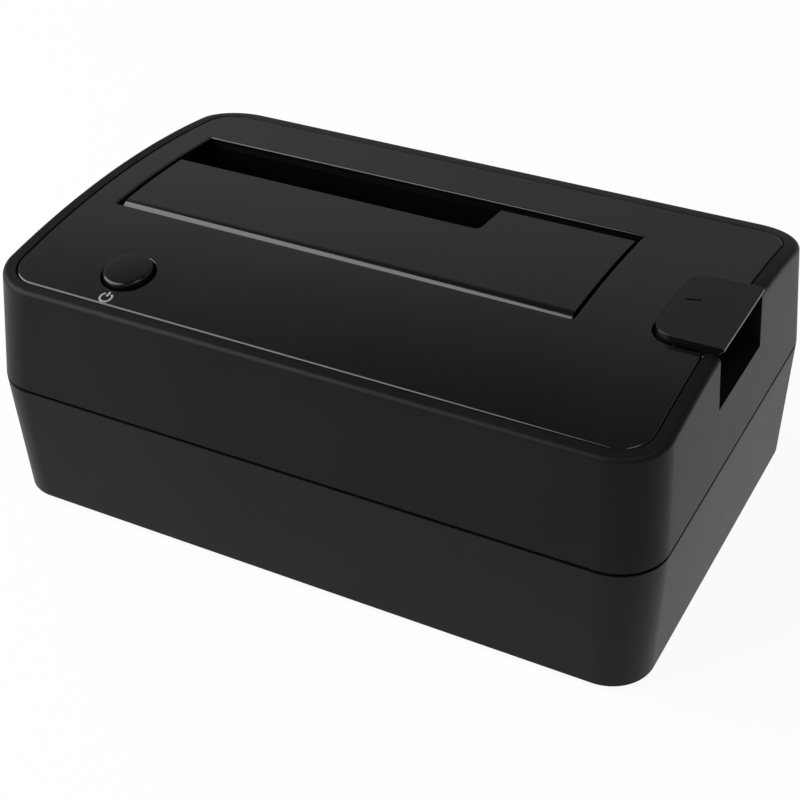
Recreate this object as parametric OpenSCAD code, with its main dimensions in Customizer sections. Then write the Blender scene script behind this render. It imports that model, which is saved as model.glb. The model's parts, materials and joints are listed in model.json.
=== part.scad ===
// Docking station for one bare hard drive: two drafted shells, a crowned top plate, a sprung
// flap over the drive slot, a power button, and an eject tab that tips a rocker under the drive.
// Millimetres, +X along the length, +Y to the rear, +Z up, origin under the middle of the feet.

/* [Case] */
// Length of the case at the parting line
case_l = 145; // [140:1:160]
// Width of the case at the parting line
case_w = 93; // [90:1:110]
// Height of the lower shell, from its underside to the parting line
base_h = 28.6; // [26:0.2:34]
// Height of the upper shell, from the parting line to the crown of the top
upper_h = 26.6; // [25.6:0.2:34]
// Radius of the upright corners at the parting line
corner_r = 10; // [9:0.2:13]
// How much rounder the corners are at the rim
corner_swell = 2; // [0:0.1:2.4]
// Draft of the lower shell's walls, in degrees
base_draft = 2.4; // [0.5:0.1:3]
// Draft of the upper shell's walls, in degrees
upper_draft = 2.5; // [1:0.1:4]
// Radius of the crown, front to back
crown_r = 217; // [190:1:400]
// Radius of the rolled edge along the rim
rim_round = 1.5; // [0.8:0.1:2]
// Wall thickness of both shells
wall = 2.2; // [1.8:0.1:2.8]
// Thickness of the lower shell's floor
floor_t = 2.2; // [2:0.1:3]
// Chamfer around the underside
base_chamfer = 0.4; // [0.2:0.1:1.2]
// Thickness of the deck under the top plate
deck_t = 2.2; // [1.8:0.1:3]
// Height of the shadow groove at the parting line
groove_h = 0.5; // [0.3:0.1:1]
// Depth of the shadow groove at the parting line
groove_d = 0.9; // [0.5:0.1:1.2]
// Thickness of the lip that keys the shells together
lip_t = 1.2; // [1:0.1:1.6]
// How far the lip rises into the upper shell
lip_h = 1.4; // [0.8:0.1:2]

/* [Top plate] */
// Width of the rim beside the plate at the ends of the case
rim_end = 3.6; // [3:0.1:5]
// Width of the rim beside the plate at the front and rear
rim_front = 4.8; // [4:0.1:6]
// Corner radius of the plate
plate_corner_r = 6.2; // [5:0.1:8]
// Thickness of the plate
plate_t = 1.6; // [1.2:0.1:2]
// Groove between the plate and the rim
plate_gap = 0.5; // [0.3:0.05:0.8]

/* [Drive slot] */
// Width of the drive that the slot takes on edge
drive_w = 101.6; // [95:0.1:102]
// Play at each end of the drive
drive_play = 1.05; // [0.6:0.05:1.4]
// Front-to-back size of the slot
slot_w = 36; // [34:0.5:40]
// How far the slot's middle lies behind the middle of the case
slot_back = 6.5; // [4:0.1:9]
// Distance from the plate's left end to the slot
slot_margin = 6.6; // [5:0.1:8]
// Ledge of the deck that shows behind the slot's rear edge
slot_ledge = 0.9; // [0.4:0.1:1.4]
// Thickness of the skirt that hangs from the deck around the slot
skirt_t = 3; // [2.4:0.1:4]
// Depth of that skirt below the crown
skirt_h = 8.6; // [8:0.2:12]

/* [Flap] */
// Gap at each end of the flap
door_gap = 0.9; // [0.5:0.1:1.4]
// Gap between the flap's free edge and the plate
door_rear_gap = 2.8; // [1.6:0.1:4]
// Gap in front of the hinge barrel
door_front_gap = 0.4; // [0.3:0.1:0.8]
// How far the flap lies below the plate's surface
door_recess = 0.3; // [0.1:0.1:1]
// Thickness of the flap
door_t = 2.2; // [1.6:0.1:2.4]
// Radius of the hinge barrel along the flap's front edge
barrel_r = 2.8; // [2.7:0.1:3.2]
// Length of the notch for a thinner drive
notch_l = 72.4; // [60:0.2:80]
// Depth of the notch, from the flap's free edge
notch_w = 10.4; // [8:0.1:13]
// Radius of the notch's inner corner
notch_r = 1.5; // [0.5:0.1:3]
// Radius of the hinge rod
rod_r = 1; // [0.8:0.05:1.1]
// Depth of the rod's seat at each end
rod_seat = 2.4; // [1.6:0.1:2.4]
// Running clearance on pins and stems, on the radius
run_gap = 0.05; // [0.03:0.01:0.08]
// Radius of the wire of the flap's spring
door_wire_r = 0.2; // [0.15:0.01:0.22]
// Turns of the flap's spring
door_turns = 5; // [3:1:8]

/* [Drive bay] */
// Wall thickness of the bay
bay_wall = 1.5; // [1.2:0.1:2]
// Thickness of the bay's floor
bay_floor_t = 1.6; // [1.2:0.1:2]
// Height of the bay's floor above the main board
bay_rise = 6.4; // [6:0.1:8]
// Thickness of the bay's screw ears
ear_t = 2; // [1.6:0.1:3]
// Radius of the bay's screw ears
ear_r = 3.4; // [3:0.1:4]
// Distance of the screw ears from the bay's ends
ear_inset = 22; // [18:0.5:30]

/* [Power button] */
// Distance of the button from the plate's left end
button_in_x = 23.6; // [18:0.1:30]
// Distance of the button from the plate's front edge
button_in_y = 9.6; // [9:0.1:12]
// Radius of the button's cap
button_r = 5; // [4:0.1:5.5]
// Gap around the cap
button_gap = 0.45; // [0.3:0.05:0.6]
// How far the cap stands above the plate
button_proud = 1.2; // [0.8:0.1:2]
// Height of the cap
button_h = 4.2; // [3.6:0.1:5]
// Radius of the cap's rounded edge
button_edge_r = 0.9; // [0.5:0.1:1.2]
// Travel of the button
button_travel = 0.8; // [0.5:0.1:1]
// Radius of the button's stem
stem_r = 2; // [1.6:0.1:2.4]
// Wire radius of the button's spring
button_wire_r = 0.25; // [0.2:0.01:0.3]

/* [Eject tab] */
// Length of the tab, from its inner edge to the case's right wall
tab_l = 14.2; // [12.8:0.1:16]
// Width of the tab
tab_w = 23; // [20:0.5:28]
// How far the tab stands above the crown
tab_proud = 1.3; // [0.6:0.1:2]
// Thickness of the tab
tab_t = 1.8; // [1.4:0.1:2.4]
// Radius of the tab's inner corners
tab_r = 4.2; // [2:0.1:5]
// Radius of the tab's rolled outer edge
tab_edge_r = 1.1; // [0.6:0.1:1.3]
// Gap around the tab
tab_gap = 0.3; // [0.3:0.05:0.6]
// Height of the finger recess under the tab
recess_h = 11.4; // [10:0.2:14]
// Depth of the finger recess, from the right wall
recess_d = 8; // [7:0.1:9]
// Wall of the shaft that guides the tab
shaft_t = 1.6; // [1.2:0.1:2]
// Travel of the tab
tab_travel = 6; // [4:0.1:6.4]
// How far the tab's skirt stands in from its edge
tab_skirt_in = 0.2; // [0.1:0.05:0.4]
// Wall of the tab's skirt
tab_skirt_t = 1.3; // [1:0.1:1.6]
// Depth of the tab's skirt
tab_skirt_h = 10; // [7:0.2:12]
// Gap between the tab's leg and the rocker's tip
leg_gap = 0.6; // [0.5:0.05:0.8]
// Length of each of the rocker's arms
rocker_arm = 11; // [10:0.1:11.4]
// Width of the rocker
rocker_w = 8; // [6:0.5:10]
// Radius of the rocker's hub
rocker_hub_r = 3.2; // [2.8:0.1:3.4]
// Radius of the rocker's tips
rocker_tip_r = 1.5; // [1.2:0.1:1.8]
// How far the rocker's middle lies behind the middle of the case
rocker_back = 4; // [2:0.5:6]
// Radius of the rocker's pin
pin_r = 1.5; // [1:0.1:1.8]
// Wire radius of the eject spring
eject_wire_r = 0.3; // [0.2:0.05:0.4]
// Coil radius of the eject spring
eject_coil_r = 2.4; // [2:0.1:3]
// Turns of the eject spring
eject_turns = 8; // [6:1:9]

/* [Boards and sockets] */
// Height of the standoffs under the main board
standoff_h = 4.8; // [4:0.1:6]
// Thickness of both boards
board_t = 1.6; // [1:0.1:2]
// Length of the main board
board_l = 86; // [80:1:88]
// Distance of the main board's left end from the bay's left wall
board_inset = 8.6; // [8:0.1:10]
// Distance of the receptacle's middle from the drive's left side
sata_in = 30.1; // [28:0.1:34]
// Distance of the receptacle's middle from the bay's rear wall
sata_off = 4.2; // [4:0.1:6]
// Length of the receptacle
sata_l = 41; // [40:0.1:43]
// Width of the receptacle
sata_w = 5.6; // [5:0.1:6]
// How far the receptacle stands above the bay's floor
sata_stand = 3; // [2:0.1:4]
// Width of the data socket's shell
usb_w = 12; // [11:0.1:13]
// Height of the data socket's shell
usb_h = 12.4; // [12:0.1:13]
// Depth of the data socket's shell
usb_d = 16; // [14:0.5:18]
// Distance of the data socket from the middle of the case
usb_x = -6; // [-9:0.5:-4]
// Width of the power jack
jack_w = 9; // [8.5:0.1:10]
// Height of the power jack
jack_h = 11; // [10:0.1:12]
// Depth of the power jack
jack_d = 14; // [12:0.5:16]
// Bore radius of the power jack
jack_bore_r = 3.2; // [3:0.05:3.4]
// Radius of the power jack's centre pin
jack_pin_r = 1; // [0.8:0.05:1.2]
// Distance of the power jack from the middle of the case
jack_x = 14; // [10:0.5:16]
// Length of the switch board
switch_board_l = 22; // [20:0.5:23]
// Width of the switch board
switch_board_w = 12; // [11:0.5:13]
// Side of the tact switch
switch_w = 6; // [5:0.1:6.5]
// Height of the tact switch's case
switch_h = 3.6; // [3:0.1:4]
// Radius of the lead between the boards
lead_r = 1.1; // [0.8:0.1:1.3]

/* [Feet and screws] */
// How far the feet stand below the underside
foot_stand = 1; // [0.6:0.1:2]
// Radius of the feet
foot_r = 6; // [4:0.1:7]
// Depth of the feet's seats in the underside
foot_seat = 0.8; // [0.4:0.1:1]
// Distance of the feet from the case's ends
foot_in_x = 28.5; // [26:0.5:34]
// Distance of the feet from the case's front and rear
foot_in_y = 14.5; // [13:0.5:18]
// Distance of the case screws from the case's ends
post_in_x = 12.5; // [11.5:0.1:13]
// Distance of the case screws from the case's front and rear
post_in_y = 11.5; // [11:0.1:12]
// Outer radius of the screw posts
post_r = 4.2; // [4:0.1:4.6]
// Shank radius of the case screws
case_screw_r = 1.5; // [1.2:0.05:1.6]
// Head radius of the case screws
case_head_r = 2.8; // [2.4:0.1:3]
// Shank radius of the small screws
small_screw_r = 1; // [0.8:0.05:1.2]
// Head radius of the small screws
small_head_r = 2; // [1.8:0.1:2.2]
// Clearance around screws, feet and sockets
fit_gap = 0.3; // [0.2:0.05:0.4]

/* [Hidden] */

// A cut runs this far past the face that it breaks through
over = 1;
// Clearance where a piece rests on a curved seat
seat_gap = 0.05;
// Clearance at the end of a spring
spring_gap = 0.15;
// Fineness of round faces, and of the crown's large radius
$fn = 64;
crown_fn = 720;
// Fineness of the rolled rim: degrees per step, and facets around its edge
rim_step = 7.5;
rim_fn = 32;
// Steps of the rolled rim from the middle of an end to its corner
rim_end_steps = 5;

// Heights of the case
base_z = foot_stand;
floor_z = base_z + floor_t;
part_z = base_z + base_h;
crown_z = part_z + upper_h;
crown_axis_z = crown_z - crown_r;
base_tan = tan(base_draft);
upper_tan = tan(upper_draft);
// Thickening of the deck along the shell's walls
eave_in = 5;

// Height of the crown at y, a given depth below its surface
function crown_at(y, drop = 0) = crown_axis_z + sqrt(pow(crown_r - drop, 2) - y * y);
// How far the walls have drawn in at a height
function upper_in(z) = (z - part_z) * upper_tan;
function base_in(z) = (part_z - z) * base_tan;

// Depth of the lip's root below the parting line
lip_root = 3;
// Height at which the deck meets the walls inside
eave_z = crown_at(case_w / 2, plate_t + deck_t);

// Centres of the upright corners
corner_x = case_l / 2 - corner_r;
corner_y = case_w / 2 - corner_r;

// Plate and slot
plate_l = case_l - 2 * upper_in(crown_z) - 2 * rim_end;
plate_w = case_w - 2 * upper_in(crown_at(case_w / 2)) - 2 * rim_front;
slot_l = drive_w + 2 * drive_play;
slot_x0 = slot_margin - plate_l / 2;
slot_x1 = slot_x0 + slot_l;
slot_y0 = slot_back - slot_w / 2;
slot_y1 = slot_back + slot_w / 2;
bay_y1 = slot_y1 - slot_ledge;
skirt_z = crown_z - skirt_h;

// Flap
door_x0 = slot_x0 + door_gap;
door_x1 = slot_x1 - door_gap;
door_y1 = slot_y1 - door_rear_gap;
hinge_y = slot_y0 + door_front_gap + barrel_r;
hinge_z = crown_at(hinge_y, door_recess + barrel_r);
notch_x = slot_x0 + door_gap + notch_l;
notch_y = door_y1 - notch_w;
door_coil_r = rod_r + 3 * door_wire_r;
door_coil_gap = 0.5;
door_pitch = 2 * door_wire_r + door_coil_gap;
spring_room_r = door_coil_r + 2 * door_wire_r + seat_gap;
spring_in = 14;
spring_end = 1;
spring_x0 = door_x1 - spring_in;
spring_l = door_turns * door_pitch + 2 * spring_end;

// Boards and bay
board_z = floor_z + standoff_h;
board_top = board_z + board_t;
bay_z = board_top + bay_rise;
bay_x0 = slot_x0 - bay_wall;
bay_x1 = slot_x1 + bay_wall;
sata_x = slot_x0 + drive_play + sata_in;
sata_y = bay_y1 - sata_off;
sata_h = bay_rise + sata_stand;
rear_in_y = case_w / 2 - wall - base_in(board_z);
port_inset = 0.6;
port_face_y = case_w / 2 - base_in(board_top) - port_inset;
board_x0 = slot_x0 + board_inset;
board_x1 = board_x0 + board_l;
board_front = 10;
board_gap = 0.6;
board_y0 = sata_y - board_front;
board_y1 = rear_in_y - board_gap;
board_hole_in = 4;
standoff_t = 1.6;
ear_bite = 0.4;
ear_y0 = slot_y0 - bay_wall - ear_r + ear_bite;
ear_y1 = bay_y1 + bay_wall + ear_r - ear_bite;

// Button and its switch, stacked down from the cap
button_x = button_in_x - plate_l / 2;
button_y = button_in_y - plate_w / 2;
button_top = crown_at(button_y) + button_proud;
cap_z = button_top - button_h;
cup_t = 1.8;
cup_r = button_r + button_gap + cup_t;
pressed_spring_h = 2.2;
cup_floor_z = cap_z - pressed_spring_h - button_travel;
stem_guide_l = 2.4;
cup_z = cup_floor_z - stem_guide_l;
collar_h = 1.2;
collar_out = 1;
collar_r = stem_r + collar_out;
stem_tail = 0.8;
stem_z = cup_z - seat_gap - collar_h - stem_tail;
plunger_share = 0.28;
plunger_r = switch_w * plunger_share;
plunger_spare = 0.6;
plunger_root = 0.8;
plunger_well = 0.2;
plunger_h = button_travel + plunger_spare;
switch_top = stem_z - plunger_h;
switch_board_top = switch_top - switch_h;
switch_board_z = switch_board_top - board_t;
switch_hole_in = 3;
switch_screw_x = switch_board_l / 2 - switch_hole_in;
switch_post_t = 1.4;

// Eject tab, its shaft and recess
tab_top = crown_z + tab_proud;
tab_z = tab_top - tab_t;
tab_x1 = case_l / 2 - upper_in(tab_z);
tab_x0 = tab_x1 - tab_l;
recess_z = tab_z - recess_h;
recess_x = case_l / 2 - upper_in(recess_z) - recess_d;
shaft_x = recess_x - shaft_t;
shaft_half = tab_w / 2 + tab_gap;
low_wall_gap = 0.7;
low_wall_z = tab_z - tab_travel - low_wall_gap;
leg_in = 0.2;
leg_x0 = tab_x0 + tab_skirt_in + tab_skirt_t + leg_in;
leg_x1 = shaft_x - 2 * tab_gap;
leg_x = (leg_x0 + leg_x1) / 2;
leg_nose_r = (leg_x1 - leg_x0) / 2;

// Rocker under the drive's corner: its arms swing evenly about the level
rocker_half = asin(tab_travel / 2 / rocker_arm);
rocker_x = leg_x - rocker_arm * cos(rocker_half);
tip_drop = 0.3;
rocker_z = bay_z + rocker_arm * sin(rocker_half) - rocker_tip_r - tip_drop;
leg_z = rocker_z + rocker_arm * sin(rocker_half) + rocker_tip_r + leg_gap;
rocker_ear_t = 3;
rocker_ear_gap = 0.3;
rocker_slot_gap = 0.8;
rocker_tip_room = 1.5;
rocker_head_room = 2;
peg_h = 4;
eject_spring_drop = 0.9;
eject_spring_top = rocker_z + rocker_arm * sin(rocker_half) - rocker_tip_r - eject_spring_drop;

// Screws and feet
post_x = case_l / 2 - post_in_x;
post_y = case_w / 2 - post_in_y;
post_drop = 6;
post_split_z = part_z - post_drop;
post_grip = 8;
head_seat_z = post_split_z - post_grip;
case_screw_l = 17;
case_head_h = 2.2;
foot_x = case_l / 2 - foot_in_x;
foot_y = case_w / 2 - foot_in_y;
small_head_h = 1.4;
small_screw_l = 6;
bay_screw_l = 5.5;
// Cross recess of a screw's head: length and width by its radius, depth by its height
cross = [1.1, 0.3, 1.1];

// Plugs of the switch lead
plug_off = [2.5, 2.5];
plug_x = button_x + plug_off[0];
plug_y = button_y + plug_off[1];
plug_size = [6, 5, 4.2];
header_in = 3.2;
header_y = board_y0 + header_in;

// Rounded rectangle in plan
module rounded(l, w, r) {
  square([l - 2 * r, w], center = true);
  square([l, w - 2 * r], center = true);
  for (sx = [-1, 1], sy = [-1, 1])
    translate([sx * (l / 2 - r), sy * (w / 2 - r)]) circle(r);
}

// Block with round upright corners whose walls draw in as they rise
module drafted(l, w, r, h, draft) {
  in = h * tan(draft);
  rotate([90, 0, 90]) linear_extrude(l - 2 * r, center = true)
    polygon([[-w / 2, 0], [w / 2, 0], [w / 2 - in, h], [in - w / 2, h]]);
  rotate([90, 0, 0]) linear_extrude(w - 2 * r, center = true)
    polygon([[-l / 2, 0], [l / 2, 0], [l / 2 - in, h], [in - l / 2, h]]);
  for (sx = [-1, 1], sy = [-1, 1])
    translate([sx * (l / 2 - r), sy * (w / 2 - r), 0]) cylinder(r1 = r, r2 = r - in, h = h);
}

// Everything below the crown, a given depth under its surface
module under_crown(drop) {
  translate([0, 0, crown_axis_z]) rotate([0, 90, 0])
    cylinder(r = crown_r - drop, h = 2 * case_l, center = true, $fn = crown_fn);
}

// Upright prism of a plan outline that spans the deck and the plate
module through_top(z) {
  translate([0, 0, z]) linear_extrude(crown_z + tab_proud + over - z) children();
}

// Copies at the four corners of a rectangle
module at_corners(x, y) {
  for (sx = [-1, 1], sy = [-1, 1]) translate([sx * x, sy * y, 0]) children();
}

// Pan-head screw, point upwards, with its head's seat at z = 0
module screw(shank_r, shank_l, head_r, head_h) {
  cylinder(r = shank_r, h = shank_l);
  translate([0, 0, -head_h]) difference() {
    cylinder(r = head_r, h = head_h);
    for (a = [0, 90]) rotate(a)
      cube([head_r * cross[0], head_r * cross[1], head_h * cross[2]], center = true);
  }
}

// Round tube along a path of points, with its rings turned about a reference axis
function unit(v) = v / norm(v);
function path_dir(p, i) = unit(p[min(i + 1, len(p) - 1)] - p[max(i - 1, 0)]);
function ring(p, i, r, sides, axis) =
  let (t = path_dir(p, i), n = unit(cross(axis, t)), b = cross(t, n))
  [for (k = [0:sides - 1]) p[i] + r * (cos(360 * k / sides) * n + sin(360 * k / sides) * b)];
module tube(p, r, sides, axis) {
  last = len(p) - 1;
  points = concat(
    [for (i = [0:last]) each ring(p, i, r, sides, axis)],
    [p[0], p[last]]
  );
  start = len(points) - 2;
  faces = concat(
    [for (i = [0:last - 1], k = [0:sides - 1])
      [i * sides + k, i * sides + (k + 1) % sides, (i + 1) * sides + k]],
    [for (i = [0:last - 1], k = [0:sides - 1])
      [i * sides + (k + 1) % sides, (i + 1) * sides + (k + 1) % sides, (i + 1) * sides + k]],
    [for (k = [0:sides - 1]) [start, (k + 1) % sides, k]],
    [for (k = [0:sides - 1]) [start + 1, last * sides + k, last * sides + (k + 1) % sides]]
  );
  polyhedron(points, [for (f = faces) [f[0], f[2], f[1]]]);
}

// Points of a helix about +Z, from z = 0
coil_steps = 12;
wire_sides = 6;
function helix(r, pitch, turns) =
  [for (i = [0:coil_steps * turns])
    [r * cos(360 * i / coil_steps), r * sin(360 * i / coil_steps), pitch * i / coil_steps]];

// Centre of the rolled rim at a corner angle: tangent to the drafted wall and to the crown
rim_guess = 0.8;
rim_x = corner_x - corner_swell;
rim_y = corner_y - corner_swell;
function rim_rho(z) = corner_r + corner_swell - upper_in(z) - rim_round / cos(upper_draft);
function rim_centre(a) =
  let (
    rho = rim_rho(crown_at(rim_y + corner_r * sin(a) * rim_guess, rim_round)),
    z = crown_at(rim_y + rho * sin(a), rim_round)
  )
  [rim_x + rim_rho(z) * cos(a), rim_y + rim_rho(z) * sin(a), z];

// Outer form of the upper shell: drafted walls rolled over into the crown
module upper_form() {
  end_y = rim_y / rim_end_steps;
  hull() {
    translate([0, 0, part_z]) at_corners(corner_x, corner_y)
      cylinder(r1 = corner_r, r2 = corner_r - over * upper_tan, h = over, $fn = 360 / rim_step);
    for (a = [0:rim_step:90], sx = [-1, 1], sy = [-1, 1]) {
      c = rim_centre(a);
      translate([sx * c[0], sy * c[1], c[2]]) sphere(rim_round, $fn = rim_fn);
    }
    for (y = [1 - rim_end_steps:rim_end_steps - 1], sx = [-1, 1]) {
      z = crown_at(y * end_y, rim_round);
      translate([sx * (rim_x + rim_rho(z)), y * end_y, z]) sphere(rim_round, $fn = rim_fn);
    }
  }
}

// Plan of the tab, with its right end square, grown by a gap
module tab_plan(grow, right) {
  r = tab_r + grow;
  x0 = tab_x0 - grow;
  half = tab_w / 2 + grow;
  translate([x0 + r, -half]) square([right - x0 - r, 2 * half]);
  translate([x0, r - half]) square([r, 2 * half - 2 * r]);
  for (s = [-1, 1]) translate([x0 + r, s * (half - r)]) circle(r);
}

// Cut for the tab: through the top, down the shaft and out of the right wall
module tab_cut() {
  through_top(low_wall_z) tab_plan(tab_gap, case_l);
  translate([recess_x, -shaft_half, recess_z]) cube([case_l, 2 * shaft_half, recess_h]);
  translate([0, 0, recess_z - shaft_t - over]) linear_extrude(recess_h)
    intersection() {
      tab_plan(tab_gap, case_l);
      square([2 * shaft_x, 2 * shaft_half], center = true);
    }
}

// Post for a screw that comes up from below, hung from the deck
module hung_post(x, y, r, z) {
  translate([x, y, z]) cylinder(r = r, h = crown_z - z);
}

// Sites of the bay's screws
module at_bay_screws() {
  for (x = [bay_x0 + ear_inset, bay_x1 - ear_inset], y = [ear_y0, ear_y1])
    translate([x, y, 0]) children();
}

// Mouldings under the deck: the slot's skirt, the tab's shaft, the button's cup and the posts
module upper_inside() {
  shaft_x0 = tab_x0 - tab_gap - shaft_t;
  wall_mid = case_l / 2 - upper_in(crown_z) - wall / 2;
  intersection() {
    under_crown(plate_t + deck_t / 2);
    union() {
      translate([slot_x0 - skirt_t, slot_y0 - skirt_t, skirt_z])
        cube([slot_l + 2 * skirt_t, slot_w + 2 * skirt_t, skirt_h]);
      translate([shaft_x0, -shaft_half - shaft_t, recess_z - shaft_t])
        cube([wall_mid - shaft_x0, 2 * (shaft_half + shaft_t), crown_z - recess_z]);
      hung_post(button_x, button_y, cup_r, cup_z);
      for (s = [-1, 1])
        hung_post(button_x + s * switch_screw_x, button_y, small_screw_r + switch_post_t, switch_board_top);
      at_corners(post_x, post_y) hung_post(0, 0, post_r, post_split_z);
      at_bay_screws() hung_post(0, 0, ear_r, skirt_z);
    }
  }
}

// Hollow of the upper shell: drafted walls up to the eaves, and the crowned underside of the deck
module upper_hollow() {
  low_l = case_l - 2 * wall + 2 * over * upper_tan;
  low_w = case_w - 2 * wall + 2 * over * upper_tan;
  low_r = corner_r - wall + over * upper_tan;
  top_l = case_l - 2 * wall - 2 * upper_in(crown_z);
  translate([0, 0, part_z - over])
    drafted(low_l, low_w, low_r, eave_z - part_z + over, upper_draft);
  intersection() {
    translate([-top_l / 2, eave_in - low_w / 2, part_z]) cube([top_l, low_w - 2 * eave_in, upper_h]);
    under_crown(plate_t + deck_t);
  }
}

module upper_shell() {
  color("#262626") difference() {
    union() {
      difference() {
        upper_form();
        upper_hollow();
      }
      upper_inside();
    }
    difference() {
      through_top(part_z)
        rounded(plate_l + 2 * plate_gap, plate_w + 2 * plate_gap, plate_corner_r + plate_gap);
      under_crown(plate_t + seat_gap);
    }
    translate([slot_x0, slot_y0, 0]) cube([slot_l, bay_y1 - slot_y0, 2 * crown_z]);
    tab_cut();
    translate([slot_x0 - rod_seat, hinge_y, hinge_z]) rotate([0, 90, 0])
      cylinder(r = rod_r, h = slot_l + 2 * rod_seat);
    translate([button_x, button_y, cup_floor_z])
      cylinder(r = button_r + button_gap, h = crown_z);
    translate([button_x, button_y, cup_z - over]) cylinder(r = stem_r + run_gap, h = crown_z);
    for (s = [-1, 1])
      translate([button_x + s * switch_screw_x, button_y, switch_board_top - over])
        cylinder(r = small_screw_r, h = small_screw_l + over);
    at_corners(post_x, post_y)
      translate([0, 0, post_split_z - over])
        cylinder(r = case_screw_r, h = case_screw_l - post_grip + 2 * over);
    at_bay_screws()
      translate([0, 0, skirt_z - over]) cylinder(r = small_screw_r, h = bay_screw_l);
  }
}

// Posts, standoffs, rocker ears and the spring's peg on the floor of the lower shell
module lower_inside() {
  at_corners(post_x, post_y) translate([0, 0, base_z]) cylinder(r = post_r, h = post_split_z - base_z);
  at_board_screws() translate([0, 0, floor_z - over])
    cylinder(r = small_screw_r + standoff_t, h = standoff_h + over);
  for (s = [-1, 1])
    translate([rocker_x, rocker_back + s * (rocker_w / 2 + rocker_ear_gap + rocker_ear_t / 2), 0])
      rotate([90, 0, 0]) linear_extrude(rocker_ear_t, center = true) {
        translate([-rocker_hub_r, base_z]) square([2 * rocker_hub_r, rocker_z - base_z]);
        translate([0, rocker_z]) circle(rocker_hub_r);
      }
  translate([leg_x, rocker_back, floor_z - over])
    cylinder(r = eject_coil_r - eject_wire_r - fit_gap, h = peg_h + over);
}

// Sites of the main board's screws
module at_board_screws() {
  for (x = [board_x0 + board_hole_in, board_x1 - board_hole_in],
       y = [board_y0 + board_hole_in, board_y1 - board_hole_in])
    translate([x, y, 0]) children();
}

// Outer form of the lower shell: drafted walls, trimmed by slopes of 45 degrees around the underside
module lower_form() {
  slope = 45;
  foot_in = base_in(base_z) + base_chamfer;
  top_out = base_h * tan(slope) - foot_in;
  intersection() {
    translate([0, 0, part_z]) mirror([0, 0, 1])
      drafted(case_l, case_w, corner_r, base_h, base_draft);
    translate([0, 0, part_z]) mirror([0, 0, 1])
      drafted(case_l + 2 * top_out, case_w + 2 * top_out, corner_r + top_out, base_h, slope);
  }
}

module lower_shell() {
  lip_out = wall + fit_gap;
  lip_in = lip_out + lip_t;
  lower_tan_l = 2 * over * base_tan;
  color("#282828") difference() {
    union() {
      difference() {
        lower_form();
        translate([0, 0, part_z + over]) mirror([0, 0, 1])
          drafted(case_l - 2 * wall + lower_tan_l, case_w - 2 * wall + lower_tan_l,
                  corner_r - wall + lower_tan_l / 2, base_h - floor_t + over, base_draft);
      }
      difference() {
        union() {
          translate([0, 0, part_z - lip_root]) linear_extrude(lip_root)
            rounded(case_l - wall, case_w - wall, corner_r - wall / 2);
          translate([0, 0, part_z - lip_root]) linear_extrude(lip_root + lip_h)
            rounded(case_l - 2 * lip_out, case_w - 2 * lip_out, corner_r - lip_out);
        }
        translate([0, 0, part_z - lip_root - over]) linear_extrude(lip_root + lip_h + 2 * over)
          rounded(case_l - 2 * lip_in, case_w - 2 * lip_in, corner_r - lip_in);
      }
      lower_inside();
    }
    difference() {
      translate([0, 0, part_z - groove_h]) linear_extrude(groove_h)
        square([2 * case_l, 2 * case_w], center = true);
      translate([0, 0, part_z - groove_h - over]) linear_extrude(groove_h + 2 * over)
        rounded(case_l - 2 * groove_d, case_w - 2 * groove_d, corner_r - groove_d);
    }
    at_corners(post_x, post_y) {
      translate([0, 0, base_z - over])
        cylinder(r = case_head_r + fit_gap, h = head_seat_z - base_z + over);
      translate([0, 0, head_seat_z - over]) cylinder(r = case_screw_r + fit_gap, h = part_z);
    }
    at_corners(foot_x, foot_y)
      translate([0, 0, base_z - over]) cylinder(r = foot_r + fit_gap / 3, h = foot_seat + over);
    at_board_screws()
      translate([0, 0, floor_z]) cylinder(r = small_screw_r, h = board_z);
    translate([rocker_x, rocker_back, rocker_z]) rotate([90, 0, 0])
      cylinder(r = pin_r, h = rocker_w + 2 * rocker_ear_gap + 2 * rocker_ear_t + over, center = true);
    translate([usb_x - usb_w / 2 - fit_gap, rear_in_y - over, board_top - fit_gap])
      cube([usb_w + 2 * fit_gap, wall * 3, usb_h + 2 * fit_gap]);
    translate([jack_x - jack_w / 2 - fit_gap, rear_in_y - over, board_top - fit_gap])
      cube([jack_w + 2 * fit_gap, wall * 3, jack_h + 2 * fit_gap]);
  }
}

module top_plate() {
  color("#1b1b1c") difference() {
    intersection() {
      through_top(part_z) rounded(plate_l, plate_w, plate_corner_r);
      under_crown(0);
    }
    under_crown(plate_t);
    translate([slot_x0, slot_y0, 0]) cube([slot_l, slot_w, 2 * crown_z]);
    through_top(part_z) tab_plan(tab_gap, case_l);
    translate([button_x, button_y, part_z]) cylinder(r = button_r + button_gap, h = upper_h + over);
  }
}

// Plan of the flap behind its hinge line, with the notch for a thinner drive
module door_plan() {
  difference() {
    translate([door_x0, hinge_y]) square([door_x1 - door_x0, door_y1 - hinge_y]);
    difference() {
      translate([door_x0 - over, notch_y]) square([notch_x - door_x0 + over, notch_w + over]);
      translate([notch_x - notch_r, notch_y]) difference() {
        square(notch_r);
        translate([0, notch_r]) circle(notch_r);
      }
    }
  }
}

module slot_door() {
  door_l = door_x1 - door_x0;
  color("#1d1d1e") difference() {
    union() {
      difference() {
        intersection() {
          through_top(part_z) door_plan();
          under_crown(door_recess);
        }
        under_crown(door_recess + door_t);
      }
      translate([door_x0, hinge_y, hinge_z]) rotate([0, 90, 0]) cylinder(r = barrel_r, h = door_l);
    }
    translate([door_x0 - over, hinge_y, hinge_z]) rotate([0, 90, 0])
      cylinder(r = rod_r + run_gap, h = door_l + 2 * over);
    translate([spring_x0, hinge_y, hinge_z]) {
      rotate([0, 90, 0]) cylinder(r = spring_room_r, h = spring_l);
      translate([0, -2 * barrel_r, -2 * barrel_r]) cube([spring_l, 4 * barrel_r, 2 * barrel_r]);
    }
  }
}

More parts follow.
